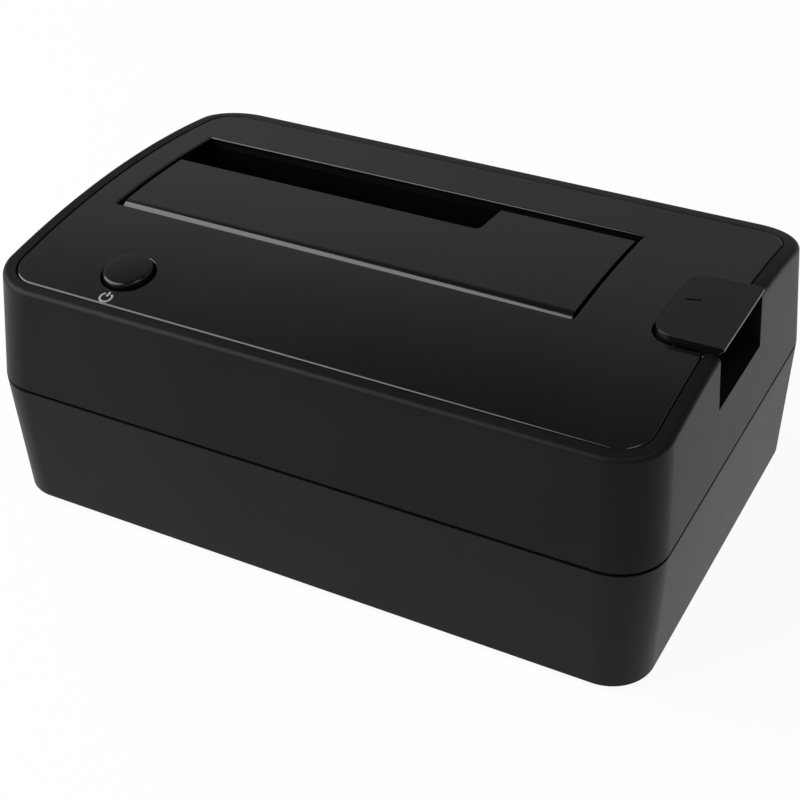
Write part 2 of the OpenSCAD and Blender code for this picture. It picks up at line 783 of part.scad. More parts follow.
module door_hinge_rod() {
  color("#b8babd") translate([slot_x0 - rod_seat, hinge_y, hinge_z]) rotate([0, 90, 0])
    cylinder(r = rod_r, h = slot_l + 2 * rod_seat);
}

// Torsion spring: one leg bears on the skirt in front, the other under the flap
module door_spring() {
  rear_leg = 8;
  front_leg = barrel_r + door_front_gap - 2 * spring_gap - door_wire_r;
  leg_up = barrel_r - door_t - door_wire_r - spring_gap;
  coil = helix(door_coil_r, door_pitch, door_turns);
  start = [door_coil_r, -front_leg, 0];
  finish = [-leg_up, rear_leg, door_pitch * door_turns];
  path = concat([start], coil, [finish]);
  color("#b8babd") translate([spring_x0 + spring_end, hinge_y, hinge_z]) rotate([0, 90, 0])
    tube(path, door_wire_r, wire_sides, [0, 0, 1]);
}

module drive_bay() {
  in_w = bay_y1 - slot_y0;
  low = bay_z - bay_floor_t;
  rocker_slot = rocker_w + 2 * rocker_slot_gap;
  ear_slot = rocker_slot + 2 * rocker_ear_gap + 2 * rocker_ear_t;
  ear_room = rocker_hub_r + rocker_slot_gap;
  tip_h = tab_travel + rocker_hub_r + rocker_head_room;
  tip_room = rocker_arm * cos(rocker_half) + rocker_tip_r + rocker_tip_room;
  color("#2c2c2c") difference() {
    union() {
      translate([bay_x0, slot_y0 - bay_wall, low])
        cube([bay_x1 - bay_x0, in_w + 2 * bay_wall, skirt_z - low]);
      at_bay_screws() translate([0, 0, skirt_z - ear_t]) cylinder(r = ear_r, h = ear_t);
    }
    translate([slot_x0, slot_y0, bay_z]) cube([slot_l, in_w, crown_z]);
    translate([sata_x, sata_y, bay_z])
      cube([sata_l + 2 * fit_gap, sata_w + 2 * fit_gap, 4 * bay_floor_t], center = true);
    translate([rocker_x - tip_room, rocker_back - rocker_slot / 2, low - over])
      cube([tip_room + leg_x - rocker_x, rocker_slot, tip_h]);
    translate([rocker_x - ear_room, rocker_back - ear_slot / 2, low - over])
      cube([ear_room + leg_x - rocker_x, ear_slot, tip_h]);
    at_bay_screws() translate([0, 0, skirt_z - ear_t - over])
      cylinder(r = small_screw_r + fit_gap / 2, h = ear_t + 2 * over);
  }
}

module bay_screws() {
  color("#8d8f92") at_bay_screws() translate([0, 0, skirt_z - ear_t])
    screw(small_screw_r, bay_screw_l, small_head_r, small_head_h);
}

// Cap with a rounded edge and a shallow dome, on a stem that ends in a snap collar
module power_button() {
  dome = 0.35;
  edge_z = button_h - dome - button_edge_r;
  dome_r = (pow(button_r, 2) + dome * dome) / (2 * dome);
  color("#17171a") translate([button_x, button_y, cap_z]) {
    rotate_extrude() intersection() {
      union() {
        square([button_r - button_edge_r, button_h]);
        square([button_r, edge_z]);
        translate([button_r - button_edge_r, edge_z]) circle(button_edge_r);
      }
      translate([0, button_h - dome_r]) intersection() {
        circle(dome_r, $fn = crown_fn);
        square([button_r, dome_r]);
      }
    }
    translate([0, 0, stem_z - cap_z]) cylinder(r = stem_r, h = cap_z - stem_z + over);
    translate([0, 0, cup_z - seat_gap - collar_h - cap_z]) cylinder(r = collar_r, h = collar_h);
  }
}

module button_spring() {
  spring_h = cap_z - cup_floor_z - 2 * button_wire_r - 2 * spring_gap;
  turns = 3;
  coil_out = 1.2;
  color("#b8babd") translate([button_x, button_y, cup_floor_z + button_wire_r + spring_gap])
    tube(helix(stem_r + coil_out, spring_h / turns, turns), button_wire_r, wire_sides, [0, 0, 1]);
}

module switch_board() {
  color("#1f5a34") difference() {
    translate([button_x - switch_board_l / 2, button_y - switch_board_w / 2, switch_board_z])
      cube([switch_board_l, switch_board_w, board_t]);
    for (s = [-1, 1])
      translate([button_x + s * switch_screw_x, button_y, switch_board_z - over])
        cylinder(r = small_screw_r + fit_gap / 2, h = board_t + 2 * over);
  }
}

module switch_board_screws() {
  color("#8d8f92") for (s = [-1, 1])
    translate([button_x + s * switch_screw_x, button_y, switch_board_z])
      screw(small_screw_r, small_screw_l, small_head_r, small_head_h);
}

module tact_switch() {
  well = plunger_root + button_travel + plunger_well;
  color("#3a3b3d") translate([button_x, button_y, switch_board_top]) difference() {
    translate([-switch_w / 2, -switch_w / 2, 0]) cube([switch_w, switch_w, switch_h]);
    translate([0, 0, switch_h - well]) cylinder(r = plunger_r + run_gap, h = switch_h);
  }
}

module switch_plunger() {
  color("#d8d4c8") translate([button_x, button_y, switch_top - plunger_root])
    cylinder(r = plunger_r, h = plunger_h + plunger_root);
}

// Tab with a rolled outer edge, a skirt in the shaft and the round-nosed leg that pushes the rocker
module eject_button() {
  color("#1c1c1d") {
    intersection() {
      translate([0, 0, tab_z]) linear_extrude(tab_t) tab_plan(0, tab_x1);
      rotate([90, 0, 0]) linear_extrude(2 * tab_w, center = true) {
        translate([0, tab_z]) square([tab_x1, tab_t - tab_edge_r]);
        translate([0, tab_z]) square([tab_x1 - tab_edge_r, tab_t]);
        translate([tab_x1 - tab_edge_r, tab_top - tab_edge_r]) circle(tab_edge_r);
      }
    }
    translate([0, 0, tab_z - tab_skirt_h]) linear_extrude(tab_skirt_h + tab_t / 2) difference() {
      intersection() {
        tab_plan(-tab_skirt_in, tab_x1);
        translate([0, -tab_w]) square([leg_x1, 2 * tab_w]);
      }
      tab_plan(-tab_skirt_in - tab_skirt_t, tab_x1);
    }
    translate([0, rocker_back, 0]) rotate([90, 0, 0]) linear_extrude(rocker_w, center = true) {
      translate([leg_x0 - leg_in - tab_skirt_t / 2, tab_z - tab_skirt_h + leg_in])
        square([leg_x1 - leg_x0 + leg_in + tab_skirt_t / 2, tab_skirt_h]);
      translate([leg_x0, leg_z + leg_nose_r])
        square([leg_x1 - leg_x0, tab_z - leg_z - leg_nose_r]);
      translate([leg_x, leg_z + leg_nose_r]) circle(leg_nose_r);
    }
  }
}

// Outline of the rocker: arms that taper from the hub to round tips
module rocker_2d() {
  root = rocker_hub_r * 0.8;
  polygon([
    [-rocker_arm, -rocker_tip_r], [0, -root], [rocker_arm, -rocker_tip_r],
    [rocker_arm, rocker_tip_r], [0, root], [-rocker_arm, rocker_tip_r]
  ]);
  circle(rocker_hub_r);
  for (side = [-1, 1]) translate([side * rocker_arm, 0]) circle(rocker_tip_r);
}

module eject_rocker() {
  color("#4a4c50") translate([rocker_x, rocker_back, rocker_z]) rotate([90, 0, 0])
    linear_extrude(rocker_w, center = true) rotate(rocker_half) difference() {
      rocker_2d();
      circle(pin_r + run_gap);
    }
}

module rocker_pin() {
  color("#b8babd") translate([rocker_x, rocker_back, rocker_z]) rotate([90, 0, 0])
    cylinder(r = pin_r, h = rocker_w + 2 * rocker_ear_gap + 2 * rocker_ear_t, center = true);
}

module eject_spring() {
  spring_h = eject_spring_top - floor_z - 2 * eject_wire_r;
  color("#b8babd") translate([leg_x, rocker_back, floor_z + eject_wire_r])
    tube(helix(eject_coil_r, spring_h / eject_turns, eject_turns), eject_wire_r, wire_sides, [0, 0, 1]);
}

module main_board() {
  color("#1f5a34") difference() {
    translate([board_x0, board_y0, board_z]) cube([board_l, board_y1 - board_y0, board_t]);
    at_board_screws() translate([0, 0, board_z - over])
      cylinder(r = small_screw_r + fit_gap / 2, h = board_t + 2 * over);
  }
}

// The receptacle's two sockets: data to the left, power to the right
sata_slot_w = 2.4;
sata_slot_d = 6;
data_l = 10.4;
power_l = 20.8;
sata_rib = 2.6;
data_x0 = -(data_l + power_l + sata_rib) / 2;
power_x0 = data_x0 + data_l + sata_rib;
data_ways = 7;
power_ways = 15;
module sata_receptacle() {
  guide_l = 2;
  guide_h = 1.6;
  color("#151515") translate([sata_x, sata_y, board_top]) difference() {
    union() {
      translate([-sata_l / 2, -sata_w / 2, 0]) cube([sata_l, sata_w, sata_h]);
      for (s = [-1, 1]) translate([s * (sata_l - guide_l) / 2, 0, sata_h])
        cube([guide_l, sata_w, 2 * guide_h], center = true);
    }
    translate([data_x0, -sata_slot_w / 2, sata_h - sata_slot_d]) cube([data_l, sata_slot_w, sata_h]);
    translate([power_x0, -sata_slot_w / 2, sata_h - sata_slot_d]) cube([power_l, sata_slot_w, sata_h]);
  }
}

// Row of blades about a middle, along the rear wall of a socket
blade_pitch = 1.27;
blade_w = 0.6;
blade_t = 0.3;
blade_h = 4.6;
module blades(middle, ways) {
  x0 = middle - (ways - 1) / 2 * blade_pitch - blade_w / 2;
  for (i = [0:ways - 1])
    translate([x0 + i * blade_pitch, sata_slot_w / 2 - blade_t, 0]) cube([blade_w, blade_t, blade_h]);
}

module sata_contacts() {
  color("#c9a74a") translate([sata_x, sata_y, board_top + sata_h - sata_slot_d]) {
    blades(data_x0 + data_l / 2, data_ways);
    blades(power_x0 + power_l / 2, power_ways);
  }
}

// Mouth of the data socket: a squared plug with chamfered top corners and a narrower step above
usb_wall = 0.8;
usb_mouth_w = 8.6;
usb_mouth_h = 6.2;
usb_step_w = 6.6;
usb_back = 3;
module usb_mouth() {
  chamfer = (usb_mouth_w - usb_step_w) / 2;
  polygon([
    [-usb_mouth_w / 2, 0], [usb_mouth_w / 2, 0],
    [usb_mouth_w / 2, usb_mouth_h], [usb_step_w / 2, usb_mouth_h + chamfer],
    [usb_step_w / 2, usb_h - 2 * usb_wall], [-usb_step_w / 2, usb_h - 2 * usb_wall],
    [-usb_step_w / 2, usb_mouth_h + chamfer], [-usb_mouth_w / 2, usb_mouth_h]
  ]);
}

module usb_port() {
  color("#a9abae") difference() {
    translate([usb_x - usb_w / 2, port_face_y - usb_d, board_top]) cube([usb_w, usb_d, usb_h]);
    translate([usb_x, port_face_y + over, board_top + usb_wall]) rotate([90, 0, 0])
      linear_extrude(usb_d - usb_back + over) usb_mouth();
  }
}

// The data socket's two tongues, one for each half of the plug
tongue_back = 1.2;
tongue_w = 4.6;
lower_tongue_t = 3;
upper_tongue_t = 1.2;
upper_tongue_drop = 2.2;
module usb_tongue() {
  reach = usb_d - usb_back - tongue_back;
  back_y = port_face_y - usb_d + usb_back;
  lower_z = board_top + usb_wall + (usb_mouth_h - lower_tongue_t) / 2;
  upper_z = board_top + usb_h - usb_wall - upper_tongue_drop;
  color("#2a4f9e") {
    translate([usb_x - tongue_w / 2, back_y, lower_z]) cube([tongue_w, reach, lower_tongue_t]);
    translate([usb_x - tongue_w / 2, back_y, upper_z]) cube([tongue_w, reach, upper_tongue_t]);
  }
}

jack_bore_d = 10;
jack_axis_z = board_top + jack_h - jack_w / 2;
module dc_jack() {
  color("#161616") difference() {
    union() {
      translate([jack_x - jack_w / 2, port_face_y - jack_d, board_top])
        cube([jack_w, jack_d, jack_h - jack_w / 2]);
      translate([jack_x, port_face_y, jack_axis_z]) rotate([90, 0, 0])
        cylinder(r = jack_w / 2, h = jack_d);
    }
    translate([jack_x, port_face_y + over, jack_axis_z]) rotate([90, 0, 0])
      cylinder(r = jack_bore_r, h = jack_bore_d + over);
  }
}

module jack_pin() {
  set_back = 1;
  color("#c4c6c9") translate([jack_x, port_face_y - jack_bore_d, jack_axis_z]) rotate([-90, 0, 0])
    cylinder(r = jack_pin_r, h = jack_bore_d - set_back);
}

// Three electrolytic capacitors in a row beside the data socket, and the chip next to them
can_r = 2.5;
can_h = 5.4;
can_pitch = 6.4;
can_gap = 1.5;
can_in = 6;
cans = 3;
can_x1 = usb_x - usb_w / 2 - can_gap - can_r;
chip_w = 10;
chip_h = 1.2;
chip_gap = 2.5;
chip_in = 7;
chip_x1 = can_x1 - (cans - 1) * can_pitch - can_r - chip_gap;
module bridge_chip() {
  color("#202022") translate([chip_x1 - chip_w, board_y1 - chip_in - chip_w, board_top])
    cube([chip_w, chip_w, chip_h]);
}

module capacitors() {
  color("#6d7076") for (i = [0:cans - 1])
    translate([can_x1 - i * can_pitch, board_y1 - can_in, board_top]) cylinder(r = can_r, h = can_h);
}

module board_screws() {
  color("#8d8f92") at_board_screws() translate([0, 0, board_top]) mirror([0, 0, 1])
    screw(small_screw_r, board_t + standoff_h - over, small_head_r, small_head_h);
}

// Lead between the boards: forward under the bay, sagging, then up to the switch board
module switch_lead() {
  stub = 1;
  run = 12;
  sag = 2.5;
  steps = 16;
  sides = 8;
  start = [plug_x, header_y - plug_size[1] / 2, board_top + plug_size[2] / 2];
  finish = [plug_x, plug_y, switch_board_z - plug_size[2]];
  a = start - [0, stub, 0];
  b = a - [0, run, sag];
  d = finish - [0, 0, stub];
  c = [plug_x, plug_y, b[2]];
  curve = [for (i = [0:steps]) let (t = i / steps, s = 1 - t)
    a * pow(s, 3) + 3 * b * t * s * s + 3 * c * t * t * s + d * pow(t, 3)];
  color("#303236") tube(concat([start], curve, [finish]), lead_r, sides, [1, 0, 0]);
}

module lead_plugs() {
  color("#e6e1d3") {
    translate([plug_x - plug_size[0] / 2, header_y - plug_size[1] / 2, board_top]) cube(plug_size);
    translate([plug_x - plug_size[0] / 2, plug_y - plug_size[1] / 2, switch_board_z - plug_size[2]])
      cube(plug_size);
  }
}

module case_screws() {
  color("#8d8f92") at_corners(post_x, post_y) translate([0, 0, head_seat_z])
    screw(case_screw_r, case_screw_l, case_head_r, case_head_h);
}

// Round feet with a softened lower edge
module rubber_feet() {
  soft = foot_stand / 2;
  color("#0f0f10") at_corners(foot_x, foot_y) {
    cylinder(r1 = foot_r - soft, r2 = foot_r, h = soft);
    translate([0, 0, soft]) cylinder(r = foot_r, h = foot_stand + foot_seat - soft);
  }
}

lower_shell();
upper_shell();
top_plate();
slot_door();
door_hinge_rod();
door_spring();
drive_bay();
bay_screws();
power_button();
button_spring();
switch_board();
tact_switch();
switch_plunger();
switch_board_screws();
eject_button();
eject_rocker();
rocker_pin();
eject_spring();
main_board();
sata_receptacle();
sata_contacts();
usb_port();
usb_tongue();
dc_jack();
jack_pin();
bridge_chip();
capacitors();
board_screws();
switch_lead();
lead_plugs();
case_screws();
rubber_feet();
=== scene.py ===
import bmesh
import bpy
import json
import math
from mathutils import Matrix, Quaternion, Vector


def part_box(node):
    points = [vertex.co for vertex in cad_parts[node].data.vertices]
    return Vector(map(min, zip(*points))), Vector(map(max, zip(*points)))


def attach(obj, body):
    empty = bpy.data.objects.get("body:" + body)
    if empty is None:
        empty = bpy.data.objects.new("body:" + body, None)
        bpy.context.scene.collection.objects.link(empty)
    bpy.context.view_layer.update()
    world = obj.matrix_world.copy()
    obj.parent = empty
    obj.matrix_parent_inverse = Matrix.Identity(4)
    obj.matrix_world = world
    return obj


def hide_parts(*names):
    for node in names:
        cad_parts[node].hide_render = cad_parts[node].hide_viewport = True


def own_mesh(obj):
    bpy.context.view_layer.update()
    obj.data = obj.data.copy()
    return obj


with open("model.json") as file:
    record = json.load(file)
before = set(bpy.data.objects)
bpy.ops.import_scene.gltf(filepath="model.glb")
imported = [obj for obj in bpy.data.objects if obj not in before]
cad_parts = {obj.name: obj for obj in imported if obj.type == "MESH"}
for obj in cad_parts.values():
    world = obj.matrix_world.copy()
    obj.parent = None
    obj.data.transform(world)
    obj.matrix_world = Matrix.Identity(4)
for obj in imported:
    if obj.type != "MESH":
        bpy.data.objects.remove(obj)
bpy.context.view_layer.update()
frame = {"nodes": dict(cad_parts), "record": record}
nodes = frame["nodes"]
scene = bpy.context.scene
mm = 0.001  # pieces are modelled in millimetres and scaled when finished
weld = 0.0005  # points this close become one
tight = 0.001  # how far a point of an upright edge may stray
near = 0.01  # how close counts as on a plane
past = 5.0  # how far a cutter reaches beyond what it cuts
upAxis = (0.0, 0.0, 1.0)
sharpTurn = 50.0  # degrees between the faces of a hard edge
print("frame loaded,", len(nodes), "nodes")


# Shader maths

class Shade:
    # wraps a socket so that Python sums build Math nodes
    def __init__(self, tree, socket=None):
        self.tree = tree
        self.socket = socket

    def node(self, kind, settings=None, sockets=None, out=0):
        made = self.tree.nodes.new("ShaderNode" + kind)
        for key, value in (settings or {}).items():
            if key == "stops":
                self.fillRamp(made.color_ramp, value)
            else:
                setattr(made, key, value)
        for key, value in (sockets or {}).items():
            self.feed(made.inputs[key], value)
        return Shade(self.tree, made.outputs[out])

    def fillRamp(self, ramp, stops):
        while len(ramp.elements) < len(stops):
            ramp.elements.new(1.0)
        for element, (place, level) in zip(ramp.elements, stops):
            element.position = place
            element.color = (level, level, level, 1.0)

    def feed(self, target, value):
        if isinstance(value, Shade):
            self.tree.links.new(value.socket, target)
        else:
            target.default_value = value

    def maths(self, operation, first, second):
        return self.node("Math", {"operation": operation}, {0: first, 1: second})

    def __add__(self, other):
        return self.maths("ADD", self, other)

    def __radd__(self, other):
        return self.maths("ADD", other, self)

    def __sub__(self, other):
        return self.maths("SUBTRACT", self, other)

    def __rsub__(self, other):
        return self.maths("SUBTRACT", other, self)

    def __mul__(self, other):
        return self.maths("MULTIPLY", self, other)

    def __rmul__(self, other):
        return self.maths("MULTIPLY", other, self)

    def __truediv__(self, other):
        return self.maths("DIVIDE", self, other)

    def __rtruediv__(self, other):
        return self.maths("DIVIDE", other, self)

    def __pow__(self, other):
        return self.maths("POWER", self, other)

    def span(self, low, high):
        # 0 to 1 between two values, clamped
        return self.node("MapRange", {"clamp": True}, {"Value": self, "From Min": low, "From Max": high})

    def tints(self, dark, light):
        sockets = {0: self, 6: (*dark, 1.0), 7: (*light, 1.0)}
        return self.node("Mix", {"data_type": "RGBA"}, sockets, out=2)

    def noise(self, where, scale, detail=2.0):
        return self.node("TexNoise", None, {"Vector": where, "Scale": scale, "Detail": detail})


# Materials

wander = {"span": (0.3, 0.7), "detail": 3.0, "smear": 2.7, "smearSpan": (0.35, 0.75), "smearDetail": 4.0}


def surface(name, look):
    # one recipe for every finish: a tint that wanders, a roughness that wanders and a fine grain
    material = bpy.data.materials.new(name)
    material.use_nodes = True
    tree = material.node_tree
    shader = tree.nodes["Principled BSDF"]
    shade = Shade(tree)
    where = shade.node("TexCoord", out="Object")
    broad = shade.noise(where, look["patch"], wander["detail"]).span(*wander["span"])
    shade.feed(shader.inputs["Base Color"], broad.tints(look["dark"], look["light"]))
    smear = shade.noise(where, look["patch"] * wander["smear"], wander["smearDetail"])
    smear = smear.span(*wander["smearSpan"])
    shade.feed(shader.inputs["Roughness"], look["rough"] + smear * look["roughVary"])
    grain = shade.noise(where, look["grain"])
    height = {"Height": grain, "Strength": look["bump"], "Distance": look["depth"] * mm}
    shade.feed(shader.inputs["Normal"], shade.node("Bump", None, height))
    shader.inputs["Specular IOR Level"].default_value = look.get("specular", 0.5)
    shader.inputs["Metallic"].default_value = look.get("metal", 0.0)
    return material


satinBlack = {
    "dark": (0.0040, 0.0040, 0.0044),
    "light": (0.0056, 0.0056, 0.0060),
    "rough": 0.43,
    "roughVary": 0.02,
    "patch": 40.0,
    "grain": 2600.0,
    "bump": 0.30,
    "depth": 0.02,
    "specular": 0.13,
}
glossBlack = {
    "dark": (0.0024, 0.0024, 0.0026),
    "light": (0.0040, 0.0040, 0.0042),
    "rough": 0.10,
    "roughVary": 0.07,
    "patch": 32.0,
    "grain": 700.0,
    "bump": 0.10,
    "depth": 0.004,
    "specular": 0.50,
}
innerBlack = dict(satinBlack, dark=(0.006, 0.006, 0.006), light=(0.009, 0.009, 0.009), rough=0.5)
looks = {
    "shell": satinBlack,
    "gloss": glossBlack,
    "cap": dict(glossBlack, specular=0.38),
    "tab": dict(glossBlack, rough=0.22, grain=2200.0, bump=0.25, depth=0.015, specular=0.36),
    # painted shade: the bay finish is tinted much darker than the inner black plastic, so the drive slot and
    # its skirt carry painted shade
    "bay": dict(innerBlack, dark=(0.0012, 0.0012, 0.0012), light=(0.0018, 0.0018, 0.0018), specular=0.04),
    "rubber": dict(innerBlack, rough=0.72, grain=1500.0, bump=0.5),
    "rocker": dict(innerBlack, dark=(0.054, 0.054, 0.055), light=(0.066, 0.066, 0.067), specular=0.4),
    "connector": dict(innerBlack, dark=(0.010, 0.010, 0.011), light=(0.014, 0.014, 0.015), rough=0.42),
    "socket_insert": dict(innerBlack, dark=(0.016, 0.065, 0.33), light=(0.023, 0.09, 0.45), specular=0.4),
    "chip": dict(innerBlack, dark=(0.012, 0.012, 0.012), light=(0.018, 0.018, 0.018), rough=0.55),
}
steel = {
    "dark": (0.42, 0.42, 0.43),
    "light": (0.55, 0.55, 0.56),
    "rough": 0.24,
    "roughVary": 0.12,
    "patch": 180.0,
    "grain": 1800.0,
    "bump": 0.15,
    "depth": 0.01,
    "metal": 1.0,
}
looks["steel"] = steel
looks["screw"] = dict(steel, dark=(0.16, 0.16, 0.17), light=(0.24, 0.24, 0.25), rough=0.33)
looks["socket_shell"] = dict(steel, dark=(0.55, 0.55, 0.55), light=(0.66, 0.66, 0.65))
looks["contact"] = dict(steel, dark=(0.62, 0.42, 0.13), light=(0.80, 0.57, 0.22))
looks["can"] = dict(steel, rough=0.3)
dull = {
    "dark": (0.010, 0.075, 0.030),
    "light": (0.016, 0.105, 0.042),
    "rough": 0.38,
    "roughVary": 0.10,
    "patch": 120.0,
    "grain": 1400.0,
    "bump": 0.15,
    "depth": 0.01,
}
looks["board"] = dull
looks["ivory"] = dict(dull, dark=(0.62, 0.57, 0.45), light=(0.70, 0.66, 0.54))
looks["lead"] = dict(dull, dark=(0.026, 0.026, 0.027), light=(0.034, 0.034, 0.035))
looks["print"] = dict(dull, dark=(0.24, 0.24, 0.245), light=(0.30, 0.30, 0.30), rough=0.5)
materials = {slotName: surface(slotName, look) for slotName, look in looks.items()}

slotOf = {entry["node"]: entry["material_slot"] for entry in frame["record"]["subparts"]}
for nodeName, obj in nodes.items():
    if slotOf.get(nodeName) in materials:
        obj.data.materials.clear()
        obj.data.materials.append(materials[slotOf[nodeName]])
print("materials made,", len(materials))


# Modelling helpers

def cad(node):
    low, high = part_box(node)
    return low / mm, high / mm


shellHigh = cad("upper_shell")[1]
tubHigh = cad("lower_shell")[1]
plateLow, plateHigh = cad("top_plate")
flapLow, flapHigh = cad("slot_door")
buttonLow, buttonHigh = cad("power_button")
tabLow, tabHigh = cad("eject_button")
crown = {"radius": 217.0, "top": plateHigh.z}


def crownAt(y, drop=0.0):
    # height of the crowned top, or of a face that lies a drop below it
    reach = crown["radius"] - drop
    return crown["top"] - crown["radius"] + math.sqrt(reach * reach - y * y)


def bend(bm, verts=None):
    # lays flat work, its top at zero, on the crown
    for v in verts or bm.verts:
        v.co.z = crownAt(v.co.y, -v.co.z)


def block(bm, low, high):
    made = bmesh.ops.create_cube(bm, size=1.0)["verts"]
    for v in made:
        v.co = [low[i] + (v.co[i] + 0.5) * (high[i] - low[i]) for i in range(3)]
    return made


def rod(bm, radius, start, end, steps=48):
    # a closed cylinder between two points
    start, end = Vector(start), Vector(end)
    turn = (end - start).to_track_quat("Z", "Y").to_matrix().to_4x4()
    place = Matrix.Translation((start + end) / 2) @ turn
    made = bmesh.ops.create_cone(
        bm, cap_ends=True, segments=steps, radius1=radius, radius2=radius,
        depth=(end - start).length, matrix=place,
    )
    return made["verts"]


def cutAcross(bm, axis, places):
    for place in places:
        spot, normal = Vector(), Vector()
        spot[axis] = place
        normal[axis] = 1.0
        geom = bm.verts[:] + bm.edges[:] + bm.faces[:]
        bmesh.ops.bisect_plane(bm, geom=geom, dist=weld, plane_co=spot, plane_no=normal)


def spread(low, high, count):
    return [low + (high - low) * i / count for i in range(count + 1)]


def soften(bm, edges, size, steps=3, clamp=True):
    bmesh.ops.bevel(
        bm, geom=list(edges), offset=size, offset_type="OFFSET", affect="EDGES", segments=steps,
        profile=0.5, material=-1, clamp_overlap=clamp,
    )


def uprights(bm, low, high):
    # the vertical edges inside a box
    def inside(p):
        return all(low[i] - near < p[i] < high[i] + near for i in range(2))

    return [e for e in bm.edges if all(inside(v.co) for v in e.verts) and
            (e.verts[0].co.xy - e.verts[1].co.xy).length < tight]


def sharp(bm, keep=lambda middle: True, angle=sharpTurn):
    # outer edges that turn by more than an angle
    found = []
    for e in bm.edges:
        if len(e.link_faces) == 2 and e.is_convex and e.calc_face_angle() > math.radians(angle):
            if keep((e.verts[0].co + e.verts[1].co) / 2):
                found.append(e)
    return found


def combine(base, tool, operation):
    # an exact Boolean of two bmeshes, given back as a new bmesh
    work = []
    for source in (base, tool):
        bmesh.ops.recalc_face_normals(source, faces=source.faces)
        mesh = bpy.data.meshes.new("work")
        source.to_mesh(mesh)
        source.free()
        work.append(bpy.data.objects.new("work", mesh))
        scene.collection.objects.link(work[-1])
    cut = work[0].modifiers.new("cut", "BOOLEAN")
    cut.object = work[1]
    cut.operation = operation
    cut.solver = "EXACT"
    result = bmesh.new()
    result.from_object(work[0], bpy.context.evaluated_depsgraph_get())
    for obj in work:
        mesh = obj.data
        bpy.data.objects.remove(obj)
        bpy.data.meshes.remove(mesh)
    bmesh.ops.dissolve_degenerate(result, dist=weld, edges=result.edges)
    return result


def finishPiece(bm, name, body, slotName, replaced=(), hard=32.0, finish=None):
    bmesh.ops.remove_doubles(bm, verts=bm.verts, dist=weld)
    bmesh.ops.recalc_face_normals(bm, faces=bm.faces)
    bmesh.ops.scale(bm, vec=(mm, mm, mm), verts=bm.verts)
    mesh = bpy.data.meshes.new(name)
    bm.to_mesh(mesh)
    bm.free()
    mesh.materials.append(materials[finish or slotName])
    mesh.shade_smooth()
    mesh.set_sharp_from_angle(angle=math.radians(hard))
    obj = bpy.data.objects.new(name, mesh)
    scene.collection.objects.link(obj)
    weighted = obj.modifiers.new("weighted", "WEIGHTED_NORMAL")
    weighted.keep_sharp = True
    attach(obj, body)
    if replaced:
        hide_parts(*replaced)
    print(name, len(mesh.polygons), "faces")
    return obj


class Rings:
    # a wall grown ring by ring from a rounded rectangle; each vertex keeps its place along the
    # straight sides and the way it faces, so a ring may have any size and corner radius
    def __init__(self, bm, half, radius, cornerSteps, sideCuts):
        self.bm = bm
        made = bmesh.ops.create_grid(bm, x_segments=1, y_segments=1, size=1.0)["verts"]
        bmesh.ops.scale(bm, vec=(half[0], half[1], 1.0), verts=made)
        bmesh.ops.bevel(
            bm, geom=made, offset=radius, offset_type="OFFSET", affect="VERTICES", segments=cornerSteps,
            profile=0.5, material=-1,
        )
        ends = [e for e in bm.edges if abs(e.verts[0].co.x - e.verts[1].co.x) < tight]
        ends = [e for e in ends if e.calc_length() > radius]
        bmesh.ops.subdivide_edges(bm, edges=ends, cuts=sideCuts)
        self.first = [e for e in bm.edges if e.is_boundary]
        self.edges = self.first
        self.along = bm.verts.layers.float_vector.new("along")
        self.facing = bm.verts.layers.float_vector.new("facing")
        inner = (half[0] - radius, half[1] - radius)
        for v in bm.verts:
            centre = Vector([max(-inner[i], min(inner[i], v.co[i])) for i in range(2)])
            v[self.along] = (centre.x / inner[0], centre.y / inner[1], 0.0)
            v[self.facing] = (v.co.xy - centre).normalized().to_3d()

    def place(self, verts, half, radius, height):
        for v in verts:
            along, facing = v[self.along], v[self.facing]
            flat = [along[i] * (half[i] - radius) + facing[i] * radius for i in range(2)]
            v.co = (flat[0], flat[1], height(flat[1]) if callable(height) else height)

    def grow(self, half, radius, height):
        made = bmesh.ops.extrude_edge_only(self.bm, edges=self.edges)["geom"]
        self.edges = [g for g in made if isinstance(g, bmesh.types.BMEdge)]
        verts = [g for g in made if isinstance(g, bmesh.types.BMVert)]
        if half:
            self.place(verts, half, radius, height)
        return verts


# Upper shell: drafted wall, rolled rim, recess for the plate, then back down inside

upper = {
    "corner": 10.0,
    "swell": 2.0,
    "draft": math.radians(2.5),
    "rim": 1.2,
    "lean": {"ends": 0.4, "front": 1.9, "rear": 0.5},
    "rimSteps": 7,
    "wall": 2.2,
    "deck": 2.2,
    "ledge": 5.0,
    "ledgeCorner": 2.5,
    "eaveDrop": 1.0,
    "plateGap": 0.22,
    "plateCorner": 6.2,
    "plateThick": 1.6,
    "seat": 0.05,
    "brow": 0.3,
    "browSteps": ((1.0, 0.0), (0.3, 0.08), (0.08, 0.3), (0.0, 1.0)),
    "foot": 0.2,
    "cornerSteps": 16,
    "sideCuts": 26,
}
caseHalf = Vector((shellHigh.x, shellHigh.y))
lipTall = 1.4
seam = tubHigh.z - lipTall
plateHalf = Vector((plateHigh.x, plateHigh.y))


def upperInset(z):
    return (z - seam) * math.tan(upper["draft"])


def upperRing(rings, z, inset):
    return rings.grow(caseHalf - Vector((inset, inset)), upper["corner"] - inset, z)


